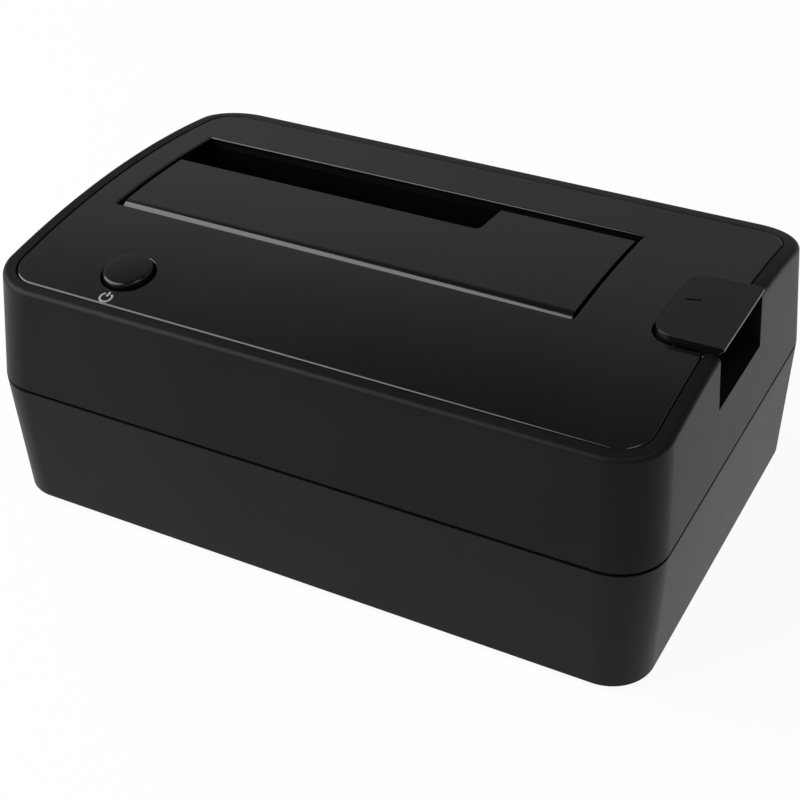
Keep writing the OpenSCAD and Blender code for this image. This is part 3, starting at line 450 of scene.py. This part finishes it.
def rolledRim(rings, share):
    # one ring of the quarter roll between the wall and the crown
    roll, draft = upper["rim"], upper["draft"]
    corner = upper["corner"] + upper["swell"]
    inner = caseHalf - Vector((corner, corner))
    for v in rings.grow(None, None, None):
        along, facing = v[rings.along], v[rings.facing]
        z = crown["top"]
        for _ in range(4):
            out = corner - upperInset(z) - roll / math.cos(draft)
            centre = Vector((along.x * inner.x + facing.x * out, along.y * inner.y + facing.y * out, 0.0))
            z = crownAt(centre.y, roll)
        centre.x -= facing.x * upper["lean"]["ends"]
        centre.y -= facing.y * upper["lean"]["front" if facing.y < 0 else "rear"]
        centre.z = crownAt(centre.y, roll)
        wallWay = facing * math.cos(draft) + Vector((0.0, 0.0, math.sin(draft)))
        crownWay = Vector((0.0, centre.y, centre.z - crown["top"] + crown["radius"])).normalized()
        v.co = centre + roll * wallWay.slerp(crownWay, share)


bm = bmesh.new()
rings = Rings(bm, caseHalf, upper["corner"], upper["cornerSteps"], upper["sideCuts"])
bmesh.ops.delete(bm, geom=[e for e in bm.edges if not e.is_boundary], context="EDGES")
start = rings.first
foot = upper["foot"]
rings.place(bm.verts, caseHalf - Vector((foot, foot)), upper["corner"] - foot, seam)
upperRing(rings, seam + foot, upperInset(seam + foot))
for share in spread(0.0, 1.0, upper["rimSteps"]):
    rolledRim(rings, share)
recessHalf = plateHalf + Vector((upper["plateGap"], upper["plateGap"]))
recessCorner = upper["plateCorner"] + upper["plateGap"]
for out, drop in upper["browSteps"]:
    step = Vector((out, out)) * upper["brow"]
    fall = drop * upper["brow"]
    rings.grow(recessHalf + step, recessCorner + step.x, lambda y: crownAt(y, fall))
seatDrop = upper["plateThick"] + upper["seat"]
rings.grow(recessHalf, recessCorner, lambda y: crownAt(y, seatDrop))
ledge = Vector((upper["ledge"], upper["ledge"]))
rings.grow(recessHalf - ledge, upper["ledgeCorner"], lambda y: crownAt(y, seatDrop))
deckDrop = seatDrop + upper["deck"]
rings.grow(recessHalf - ledge, upper["ledgeCorner"], lambda y: crownAt(y, deckDrop))
eave = crownAt(caseHalf.y, deckDrop) - upper["eaveDrop"]
for z in (eave, seam):
    upperRing(rings, z, upperInset(z) + upper["wall"])
bmesh.ops.bridge_loops(bm, edges=rings.edges + start)

# slot skirt and the pocket behind the eject tab
flap = {
    "gapEnd": 0.9,
    "gapFront": 0.4,
    "gapRear": 2.8,
    "recess": 0.3,
    "thick": 2.2,
    "barrel": 2.8,
    "notch": (12.1614, 11.3),
    "notchRound": 1.5,
    "edge": 0.3,
    "barrelSteps": 44,
    "topSteps": 18,
    "weld": 0.02,
    "sharpTurn": 45.0,
}
slotLow = Vector((flapLow.x - flap["gapEnd"], flapLow.y - flap["gapFront"]))
slotHigh = Vector((flapHigh.x + flap["gapEnd"], flapHigh.y + flap["gapRear"]))
skirt = {"thick": 3.0, "bottom": 47.6, "rear": 0.9, "slices": 14}


def slotSkirt():
    thick, top = skirt["thick"], crown["top"]
    outer, inner = bmesh.new(), bmesh.new()
    block(outer, (slotLow.x - thick, slotLow.y - thick, skirt["bottom"]),
          (slotHigh.x + thick, slotHigh.y + thick, top))
    block(inner, (slotLow.x, slotLow.y, skirt["bottom"] - past),
          (slotHigh.x, slotHigh.y - skirt["rear"], top + past))
    made = combine(outer, inner, "DIFFERENCE")
    cutAcross(made, 1, spread(slotLow.y - thick, slotHigh.y + thick, skirt["slices"])[1:-1])
    for v in made.verts:
        if v.co.z > top - near:
            v.co.z = crownAt(v.co.y, seatDrop)
    return made


tab = {
    "gap": 0.3,
    "corner": 4.2,
    "under": 55.7,
    "edge": 0.5,
    "undercut": 1.15,
    "brow": 0.14,
    "recessZ": 44.3,
    "recessX": 63.858,
    "recessRound": 0.8,
    "pocketIn": 2.6,
    "pocketDrop": 0.02,
    "shaftX": 62.258,
    "shaftThick": 1.6,
    "shaftZ": 38.0,
    "wallTop": 49.0,
    "overlap": 1.0,
    "mouthTop": 52.0,
    "mouthX": 69.0,
    "mouthReach": 0.5,
    "mouthEdge": 0.25,
    "skirtZ": 45.7,
    "skirtX": 61.658,
    "skirtIn": 0.2,
    "skirtThick": 1.3,
    "skirtBite": 0.4,
    "skirtRound": 3.4,
    "skirtRoom": 0.6,
    "legX": (58.860, 61.658),
    "legY": (0.0, 8.0),
    "legRoot": (58.01, 45.9),
    "legBite": 0.2,
    "dash": (60.8, 1.7),
    "dashSize": (3.0, 0.55, 0.2),
    "dashTurn": 17.0,
}


def tabHole(low, high, xEnd, gap=tab["gap"]):
    # the tab's outline with rounded inner corners, as an upright prism
    made = bmesh.new()
    x0, y1 = tabLow.x - gap, tabHigh.y + gap
    block(made, (x0, -y1, low), (xEnd, y1, high))
    soften(made, uprights(made, (x0, -y1), (x0, y1)), tab["corner"] + gap, 10)
    return made


def fingerRecess():
    made = bmesh.new()
    y1 = tabHigh.y + tab["gap"]
    block(made, (tab["recessX"], -y1, tab["recessZ"]), (caseHalf.x + past, y1, tab["under"]))
    corner = [v for v in made.verts if v.co.x < tab["recessX"] + near]
    back = [e for e in made.edges if all(v in corner for v in e.verts)]
    soften(made, back, tab["recessRound"], 4)
    return made


pocket = bmesh.new()
pocketY = tabHigh.y + tab["gap"] + tab["shaftThick"]
block(pocket, (tabLow.x - tab["gap"] - tab["shaftThick"], -pocketY, tab["recessZ"] - tab["shaftThick"]),
      (caseHalf.x - tab["pocketIn"], pocketY, crownAt(pocketY, seatDrop) - tab["pocketDrop"]))
bm = combine(bm, pocket, "UNION")
bm = combine(bm, tabHole(tab["wallTop"], crown["top"] + past, caseHalf.x + past), "DIFFERENCE")
bm = combine(bm, tabHole(tab["shaftZ"], tab["wallTop"] + tab["overlap"], tab["shaftX"]), "DIFFERENCE")
bm = combine(bm, fingerRecess(), "DIFFERENCE")


def onMouth(p):
    # outer edges of the finger recess, below the rolled rim
    onWall = p.x > tab["mouthX"] and abs(p.y) < tabHigh.y + tab["mouthReach"]
    return onWall and tab["recessZ"] - near < p.z < tab["mouthTop"]


bmesh.ops.holes_fill(bm, edges=[e for e in bm.edges if e.is_boundary])
soften(bm, sharp(bm, onMouth), tab["mouthEdge"], 2)
finishPiece(bm, "upper_case", "root", "shell", ["upper_shell"])
# the slot skirt wears the bay finish, whose darkened tint is painted shade inside the slot
finishPiece(slotSkirt(), "slot_skirt", "root", "bay")


# Top plate: flat work with its holes, then bent on the crown

plate = {
    "corner": 6.2,
    "cornerSteps": 14,
    "edge": 0.4,
    "slices": 36,
    "buttonGap": 0.45,
    "tabGap": 0.7,
    "holeSteps": 72,
}
buttonSpot = (buttonLow + buttonHigh) / 2
buttonRadius = (buttonHigh.x - buttonLow.x) / 2

bm = bmesh.new()
block(bm, (plateLow.x, plateLow.y, -upper["plateThick"]), (plateHigh.x, plateHigh.y, 0.0))
soften(bm, uprights(bm, plateLow, plateHigh), plate["corner"], plate["cornerSteps"])
slotCut = bmesh.new()
block(slotCut, (slotLow.x, slotLow.y, -past), (slotHigh.x, slotHigh.y, past))
bm = combine(bm, slotCut, "DIFFERENCE")
buttonCut = bmesh.new()
rod(buttonCut, buttonRadius + plate["buttonGap"], (buttonSpot.x, buttonSpot.y, -past),
    (buttonSpot.x, buttonSpot.y, past), plate["holeSteps"])
bm = combine(bm, buttonCut, "DIFFERENCE")
cutAcross(bm, 1, spread(plateLow.y, plateHigh.y, plate["slices"])[1:-1])
rims = sharp(bm, lambda p: p.z > -near)
soften(bm, rims, plate["edge"], 4, clamp=False)
bm = combine(bm, tabHole(-past, past, caseHalf.x + past, plate["tabGap"]), "DIFFERENCE")
bend(bm)
finishPiece(bm, "top_panel", "root", "gloss", ["top_plate"], hard=40.0)


# Flap: arcs spun into one profile, drawn out along the slot, then the notch

def arc(bm, centre, start, end, steps, around=0.0):
    # a row of edges from one point to another, spun about an axis along x
    first, last = start - centre, end - centre
    angle = math.atan2(last.z, last.y) - math.atan2(first.z, first.y) + around
    made = bmesh.ops.create_vert(bm, co=start)["vert"]
    bmesh.ops.spin(bm, geom=made, cent=centre, axis=(1.0, 0.0, 0.0), angle=angle, steps=steps)


def onCrown(y, drop):
    return Vector((flapHigh.x, y, crownAt(y, drop)))


bm = bmesh.new()
under = flap["recess"] + flap["thick"]
hingeY = flapLow.y + flap["barrel"]
hingeTop = onCrown(hingeY, flap["recess"])
hinge = hingeTop - Vector((0.0, 0.0, flap["barrel"]))
barrelDrop = hinge.z - crownAt(hingeY, under)
barrelBack = onCrown(hingeY + math.sqrt(flap["barrel"] ** 2 - barrelDrop ** 2), under)
crownCentre = Vector((flapHigh.x, 0.0, crown["top"] - crown["radius"]))
arc(bm, crownCentre, hingeTop, onCrown(flapHigh.y, flap["recess"]), flap["topSteps"])
arc(bm, crownCentre, barrelBack, onCrown(flapHigh.y, under), flap["topSteps"])
backAngle = math.atan2(barrelBack.z - hinge.z, barrelBack.y - hinge.y)
barrelEnd = hinge + flap["barrel"] * Vector((0.0, math.cos(backAngle), math.sin(backAngle)))
arc(bm, hinge, hingeTop, barrelEnd, flap["barrelSteps"], math.tau)
bmesh.ops.contextual_create(bm, geom=[v for v in bm.verts if v.co.y > flapHigh.y - tight])
bmesh.ops.remove_doubles(bm, verts=bm.verts, dist=flap["weld"])
bmesh.ops.contextual_create(bm, geom=bm.edges[:])
drawn = bmesh.ops.extrude_face_region(bm, geom=bm.faces[:])["geom"]
drawn = [g for g in drawn if isinstance(g, bmesh.types.BMVert)]
bmesh.ops.translate(bm, verts=drawn, vec=(flapLow.x - flapHigh.x, 0.0, 0.0))
notchX, notchY = flap["notch"]
notchCut = bmesh.new()
block(notchCut, (flapLow.x - past, notchY, hinge.z - past), (notchX, flapHigh.y + past, crown["top"] + past))
soften(notchCut, uprights(notchCut, (notchX, notchY), (notchX, notchY)), flap["notchRound"], 6)
bm = combine(bm, notchCut, "DIFFERENCE")
soften(bm, sharp(bm, angle=flap["sharpTurn"]), flap["edge"], 3)
finishPiece(bm, "flap", "door", "gloss", ["slot_door"], hard=40.0)


# Power button: one profile, spun

button = {"edge": 0.45, "edgeSteps": 8, "dome": 0.12, "domeSteps": 6, "steps": 72, "cap": 4.2, "stem": 2.0}


def spunProfile(bm, points, spot, steps):
    verts = [bm.verts.new((spot.x + across, spot.y, z)) for across, z in points]
    edges = [bm.edges.new(pair) for pair in zip(verts, verts[1:])]
    bmesh.ops.spin(bm, geom=verts + edges, cent=(spot.x, spot.y, 0.0), axis=upAxis, angle=math.tau,
                   steps=steps, use_merge=True)


bm = bmesh.new()
shoulder = buttonRadius - button["edge"]
domeEnd = buttonHigh.z - button["dome"]
shares = spread(0.0, 1.0, button["domeSteps"])
points = [(shoulder * t, buttonHigh.z - button["dome"] * t ** 2) for t in shares]
lean = math.atan(2 * button["dome"] / shoulder)
for angle in spread(math.pi / 2 - lean, 0.0, button["edgeSteps"])[1:]:
    points.append((shoulder + button["edge"] * (math.cos(angle) - math.sin(lean)) / (1 - math.sin(lean)),
                   domeEnd - button["edge"] * (math.cos(lean) - math.sin(angle))))
capZ = buttonHigh.z - button["cap"]
points += [(buttonRadius, capZ), (button["stem"], capZ), (button["stem"], buttonLow.z), (0.0, buttonLow.z)]
spunProfile(bm, points, buttonSpot, button["steps"])
for v in bm.verts:
    # the cap's top lies parallel to the crown
    if v.co.z > capZ + near:
        v.co.z += crownAt(v.co.y) - crownAt(buttonSpot.y)
finishPiece(bm, "power_cap", "power_button", "gloss", ["power_button"], hard=50.0, finish="cap")


# Eject tab: slab with a rolled outer edge, its skirt and leg

bm = bmesh.new()
block(bm, (tabLow.x, tabLow.y, tab["under"]), tabHigh)
soften(bm, uprights(bm, (tabLow.x, tabLow.y), (tabLow.x, tabHigh.y)), tab["corner"], 10)
for z, size, steps in ((tabHigh.z, tab["edge"], 8), (tab["under"], tab["undercut"], 1)):
    outer = [v for v in bm.verts if v.co.x > tabHigh.x - near and abs(v.co.z - z) < near]
    soften(bm, [e for e in bm.edges if all(v in outer for v in e.verts)], size, steps)
soften(bm, sharp(bm, lambda p: p.z > tab["under"] + near), tab["brow"], 3)
skirtPart = bmesh.new()
inset = tab["skirtIn"]
block(skirtPart, (tabLow.x + inset, tabLow.y + inset, tab["skirtZ"]),
      (tab["skirtX"], tabHigh.y - inset, tab["under"] + tab["skirtBite"]))
skirtEnd = (tabLow.x + tab["skirtThick"], tabHigh.y)
soften(skirtPart, uprights(skirtPart, (tabLow.x, tabLow.y), skirtEnd), tab["skirtRound"], 8)
skirtHole = bmesh.new()
deep = inset + tab["skirtThick"]
block(skirtHole, (tabLow.x + deep, tabLow.y + deep, tab["skirtZ"] - past),
      (tab["skirtX"] + past, tabHigh.y - deep, tab["under"] - tab["skirtRoom"]))
bm = combine(bm, combine(skirtPart, skirtHole, "DIFFERENCE"), "UNION")
(legX0, legX1), (legY0, legY1) = tab["legX"], tab["legY"]
noseRadius = (legX1 - legX0) / 2
noseZ = tabLow.z + noseRadius
leg, nose, legRoot = bmesh.new(), bmesh.new(), bmesh.new()
legTop = tab["under"] + tab["legBite"]
block(leg, (legX0, legY0, noseZ), (legX1, legY1, legTop))
rod(nose, noseRadius, (legX0 + noseRadius, legY0, noseZ), (legX0 + noseRadius, legY1, noseZ))
block(legRoot, (tab["legRoot"][0], legY0, tab["legRoot"][1]), (legX1, legY1, legTop))
for part in (leg, nose, legRoot):
    bm = combine(bm, part, "UNION")
dash = bmesh.new()
dashLong, dashWide, dashDeep = tab["dashSize"]
block(dash, (-dashLong / 2, -dashWide / 2, tabHigh.z - dashDeep),
      (dashLong / 2, dashWide / 2, tabHigh.z + past))
bmesh.ops.rotate(dash, verts=dash.verts, matrix=Matrix.Rotation(math.radians(tab["dashTurn"]), 3, "Z"))
bmesh.ops.translate(dash, verts=dash.verts, vec=(*tab["dash"], 0.0))
bm = combine(bm, dash, "DIFFERENCE")
finishPiece(bm, "eject_tab", "eject_button", "gloss", ["eject_button"], hard=40.0, finish="tab")


# Springs: a ring of wire spun up into each coil

springs = {
    "button_coil": {"node": "button_spring", "wire": 0.25, "turns": 3, "joint": "power_press", "give": 0.75},
    "eject_coil": {"node": "eject_spring", "wire": 0.3, "turns": 8, "joint": "eject_press", "give": 5.20},
}
coilSteps, wireSides = 28, 10
for coilName, spring in springs.items():
    low, high = cad(spring["node"])
    wire, turns = spring["wire"], spring["turns"]
    middle = (low + high) / 2
    tall = high.z - low.z
    foot = Vector((middle.x, middle.y, low.z))
    start = foot + Vector(((high.x - low.x) / 2 - wire, 0.0, wire))
    bm = bmesh.new()
    upright = Matrix.Translation(start) @ Matrix.Rotation(math.pi / 2, 4, "X")
    bmesh.ops.create_circle(bm, cap_ends=False, segments=wireSides, radius=wire, matrix=upright)
    steps = turns * coilSteps
    rise = Vector((0.0, 0.0, (tall - 2 * wire) / steps))
    bmesh.ops.spin(bm, geom=bm.verts[:] + bm.edges[:], cent=foot, axis=upAxis, dvec=rise,
                   angle=turns * math.tau, steps=steps)
    bmesh.ops.holes_fill(bm, edges=[e for e in bm.edges if e.is_boundary])
    coil = finishPiece(bm, coilName, "root", slotOf[spring["node"]], [spring["node"]], hard=60.0)
    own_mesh(coil)


# Lower shell: floor, drafted wall and parting groove, then ports, bores and foot seats

lower = {
    "draft": math.radians(2.4),
    "base": 1.0,
    "chamfer": 0.4,
    "soft": 0.12,
    "floor": 3.2,
    "groove": (0.5, 0.9),
    "grooveEdge": ((0.15, 0.0), (0.04, 0.05), (0.0, 0.15)),
    "seamGap": 0.01,
    "lip": (2.5, 3.7),
    "lipRoot": 3.0,
    "lipSlope": 1.4,
    "posts": (60.0, 35.0, 4.2, 23.6),
    "bore": (3.1, 15.6),
    "feet": (44.0, 32.0, 6.1, 1.8),
    "portGap": 0.3,
    "portEdge": 0.3,
    "portCut": (38.0, 52.0),
    "portSide": {"y": 44.0, "x": 25.0, "z": (5.0, 26.0)},
    "postFoot": 2.0,
    "below": -2.0,
}


def lowerInset(z):
    return (seam - z) * math.tan(lower["draft"])


bm = bmesh.new()
rings = Rings(bm, caseHalf, upper["corner"], upper["cornerSteps"], 6)


def lowerRing(z, inset):
    return rings.grow(caseHalf - Vector((inset, inset)), upper["corner"] - inset, z)


chamfer, base, soft = lower["chamfer"], lower["base"], lower["soft"]
bottomIn = lowerInset(base) + chamfer
bottomHalf = caseHalf - Vector((bottomIn + soft, bottomIn + soft))
rings.place(bm.verts, bottomHalf, upper["corner"] - bottomIn - soft, base)
lowerRing(base + soft, bottomIn - soft)
for rise in (chamfer - soft, chamfer + soft):
    lowerRing(base + rise, lowerInset(base + rise) + max(0.0, chamfer - rise))
grooveTall, grooveDeep = lower["groove"]
grooveZ = seam - grooveTall
for down, inset in lower["grooveEdge"]:
    lowerRing(grooveZ - down, lowerInset(grooveZ) + inset)
lowerRing(grooveZ, grooveDeep)
grooveTop = seam - lower["seamGap"]
lowerRing(grooveTop, grooveDeep)
lipOut, lipIn = lower["lip"]
lowerRing(grooveTop, lipOut)
lowerRing(seam + lipTall, lipOut)
lowerRing(seam + lipTall, lipIn)
lipRoot = seam - lower["lipRoot"]
lowerRing(lipRoot, lipIn)
lowerRing(lipRoot - lower["lipSlope"], lowerInset(lipRoot) + upper["wall"])
lowerRing(lower["floor"], lowerInset(lower["floor"]) + upper["wall"])
bmesh.ops.contextual_create(bm, geom=rings.edges)
postX, postY, postRadius, postTop = lower["posts"]
footX, footY, footRadius, footTop = lower["feet"]
boreRadius, boreTop = lower["bore"]
below = lower["below"]
adds, cuts = bmesh.new(), bmesh.new()
for sx in (-1, 1):
    for sy in (-1, 1):
        post, pad = (sx * postX, sy * postY), (sx * footX, sy * footY)
        rod(adds, postRadius, (*post, lower["postFoot"]), (*post, postTop))
        rod(cuts, boreRadius, (*post, below), (*post, boreTop))
        rod(cuts, footRadius, (*pad, below), (*pad, footTop))
bm = combine(bm, adds, "UNION")
bm = combine(bm, cuts, "DIFFERENCE")
ports = bmesh.new()
portGap = lower["portGap"]
for socket in ("usb_port", "dc_jack"):
    low, high = cad(socket)
    cutFrom, cutTo = lower["portCut"]
    block(ports, (low.x - portGap, cutFrom, low.z - portGap), (high.x + portGap, cutTo, high.z + portGap))
bm = combine(bm, ports, "DIFFERENCE")


def onPort(p):
    side = lower["portSide"]
    return p.y > side["y"] and abs(p.x) < side["x"] and side["z"][0] < p.z < side["z"][1]


soften(bm, sharp(bm, onPort), lower["portEdge"], 2)
finishPiece(bm, "lower_case", "root", "shell", ["lower_shell"])


# Power sign: a thin print on the plate

sign = {
    "spot": (-44.1, -39.0),
    "radius": 1.22,
    "line": 0.44,
    "open": 70.0,
    "thick": 0.03,
    "stem": 1.3,
    "stemStart": 0.3,
    "steps": 30,
}

bm = bmesh.new()
middle = Vector(sign["spot"])
halfLine = sign["line"] / 2
opening = math.radians(sign["open"])
way = Matrix.Rotation(opening / 2, 2) @ Vector((0.0, 1.0))
strip = [bm.verts.new((middle + way * (sign["radius"] + s * halfLine)).to_3d()) for s in (-1, 1)]
edge = bm.edges.new(strip)
bmesh.ops.spin(bm, geom=strip + [edge], cent=middle.to_3d(), axis=upAxis, angle=math.tau - opening,
               steps=sign["steps"])
stem = bmesh.ops.create_grid(bm, x_segments=1, y_segments=4, size=0.5)["verts"]
for v in stem:
    up = sign["stemStart"] + (v.co.y + 0.5) * sign["stem"]
    v.co = (middle.x + v.co.x * sign["line"], middle.y + up, 0.0)
raised = bmesh.ops.extrude_face_region(bm, geom=bm.faces[:])["geom"]
for v in raised:
    if isinstance(v, bmesh.types.BMVert):
        v.co.z = sign["thick"]
bend(bm)
finishPiece(bm, "power_sign", "root", "print")
print("pieces made")


# Floor, light and camera

stage = {
    "half": 4.0,
    "drop": 0.05,
    "white": 0.94,
    "patch": 3.0,
    "dark": (0.84, 0.84, 0.84),
    "light": (0.87, 0.87, 0.87),
}
bm = bmesh.new()
bmesh.ops.create_grid(bm, x_segments=1, y_segments=1, size=stage["half"])
bmesh.ops.translate(bm, verts=bm.verts, vec=(0.0, 0.0, -stage["drop"] * mm))
mesh = bpy.data.meshes.new("floor")
bm.to_mesh(mesh)
bm.free()
floor = bpy.data.objects.new("floor", mesh)
scene.collection.objects.link(floor)
material = bpy.data.materials.new("floor")
material.use_nodes = True
tree = material.node_tree
tree.nodes.remove(tree.nodes["Principled BSDF"])
shade = Shade(tree)
where = shade.node("TexCoord", out="Object")
tone = shade.noise(where, stage["patch"]).span(*wander["span"]).tints(stage["dark"], stage["light"])
matte = shade.node("BsdfDiffuse", None, {"Color": tone})
glow = shade.node("Emission", None, {"Strength": 1.0})
seen = shade.node("LightPath", out="Is Camera Ray")
mirrored = shade.node("LightPath", out="Is Glossy Ray")
through = shade.node("LightPath", out="Is Transmission Ray")
share = (seen + mirrored + through) * stage["white"]
shown = shade.node("MixShader", None, {0: share, 1: matte, 2: glow})
shade.feed(tree.nodes["Material Output"].inputs["Surface"], shown)
mesh.materials.append(material)

# the room is brightest a third of the way up, dims toward the zenith and gains a little at both sides
room = {
    "stops": (
        (0.0, 0.10), (0.10, 0.13), (0.26, 0.20), (0.45, 0.28),
        (0.58, 0.30), (0.70, 0.22), (0.82, 0.11), (1.0, 0.05),
    ),
    "left": {"span": (0.3, 0.9), "gain": 0.5},
    "right": {"span": (0.15, 0.6), "gain": 0.6},
}
world = bpy.data.worlds.new("room")
scene.world = world
world.use_nodes = True
tree = world.node_tree
shade = Shade(tree)
way = shade.node("TexCoord", out="Generated")
across = shade.node("SeparateXYZ", None, {0: way}, out="X")
rise = shade.node("SeparateXYZ", None, {0: way}, out="Z")
level = shade.node("ValToRGB", {"stops": room["stops"]}, {0: rise})
leftward = (0.0 - across).span(*room["left"]["span"]) * room["left"]["gain"]
rightward = across.span(*room["right"]["span"]) * room["right"]["gain"]
shade.feed(tree.nodes["Background"].inputs["Color"], level * (1.0 + (leftward + rightward)))

lamps = {
    "key": {"way": (-0.70, -0.40, 0.58), "far": 0.9, "size": 1.1, "power": 12.9},
    "fill": {"way": (0.35, -0.20, 0.90), "far": 1.0, "size": 0.4, "power": 1.3},
}
lampAim = Vector((0.0, 0.0, 0.04))
for lampName, lamp in lamps.items():
    light = bpy.data.lights.new(lampName, "AREA")
    light.shape = "DISK"
    light.size = lamp["size"]
    light.energy = lamp["power"]
    softbox = bpy.data.objects.new(lampName, light)
    scene.collection.objects.link(softbox)
    toward = Vector(lamp["way"]).normalized()
    softbox.location = lampAim + toward * lamp["far"]
    softbox.rotation_euler = toward.to_track_quat("Z", "Y").to_euler()

view = {
    "spot": (138.331, -249.96, 220.34),
    "aim": (6.327, -13.325, 27.37),
    "lens": 73.962,
    "sensor": 36.0,
    "roll": -1.894,
}
camera = bpy.data.cameras.new("camera")
camera.lens = view["lens"]
camera.sensor_width = view["sensor"]
camera.clip_start = 10 * mm
eye = bpy.data.objects.new("camera", camera)
scene.collection.objects.link(eye)
eye.location = Vector(view["spot"]) * mm
aim = (Vector(view["aim"]) - Vector(view["spot"])).to_track_quat("-Z", "Y")
eye.rotation_euler = (aim @ Quaternion(upAxis, math.radians(view["roll"]))).to_euler()
scene.camera = eye
scene.view_settings.view_transform = "Standard"
print("light and camera set")
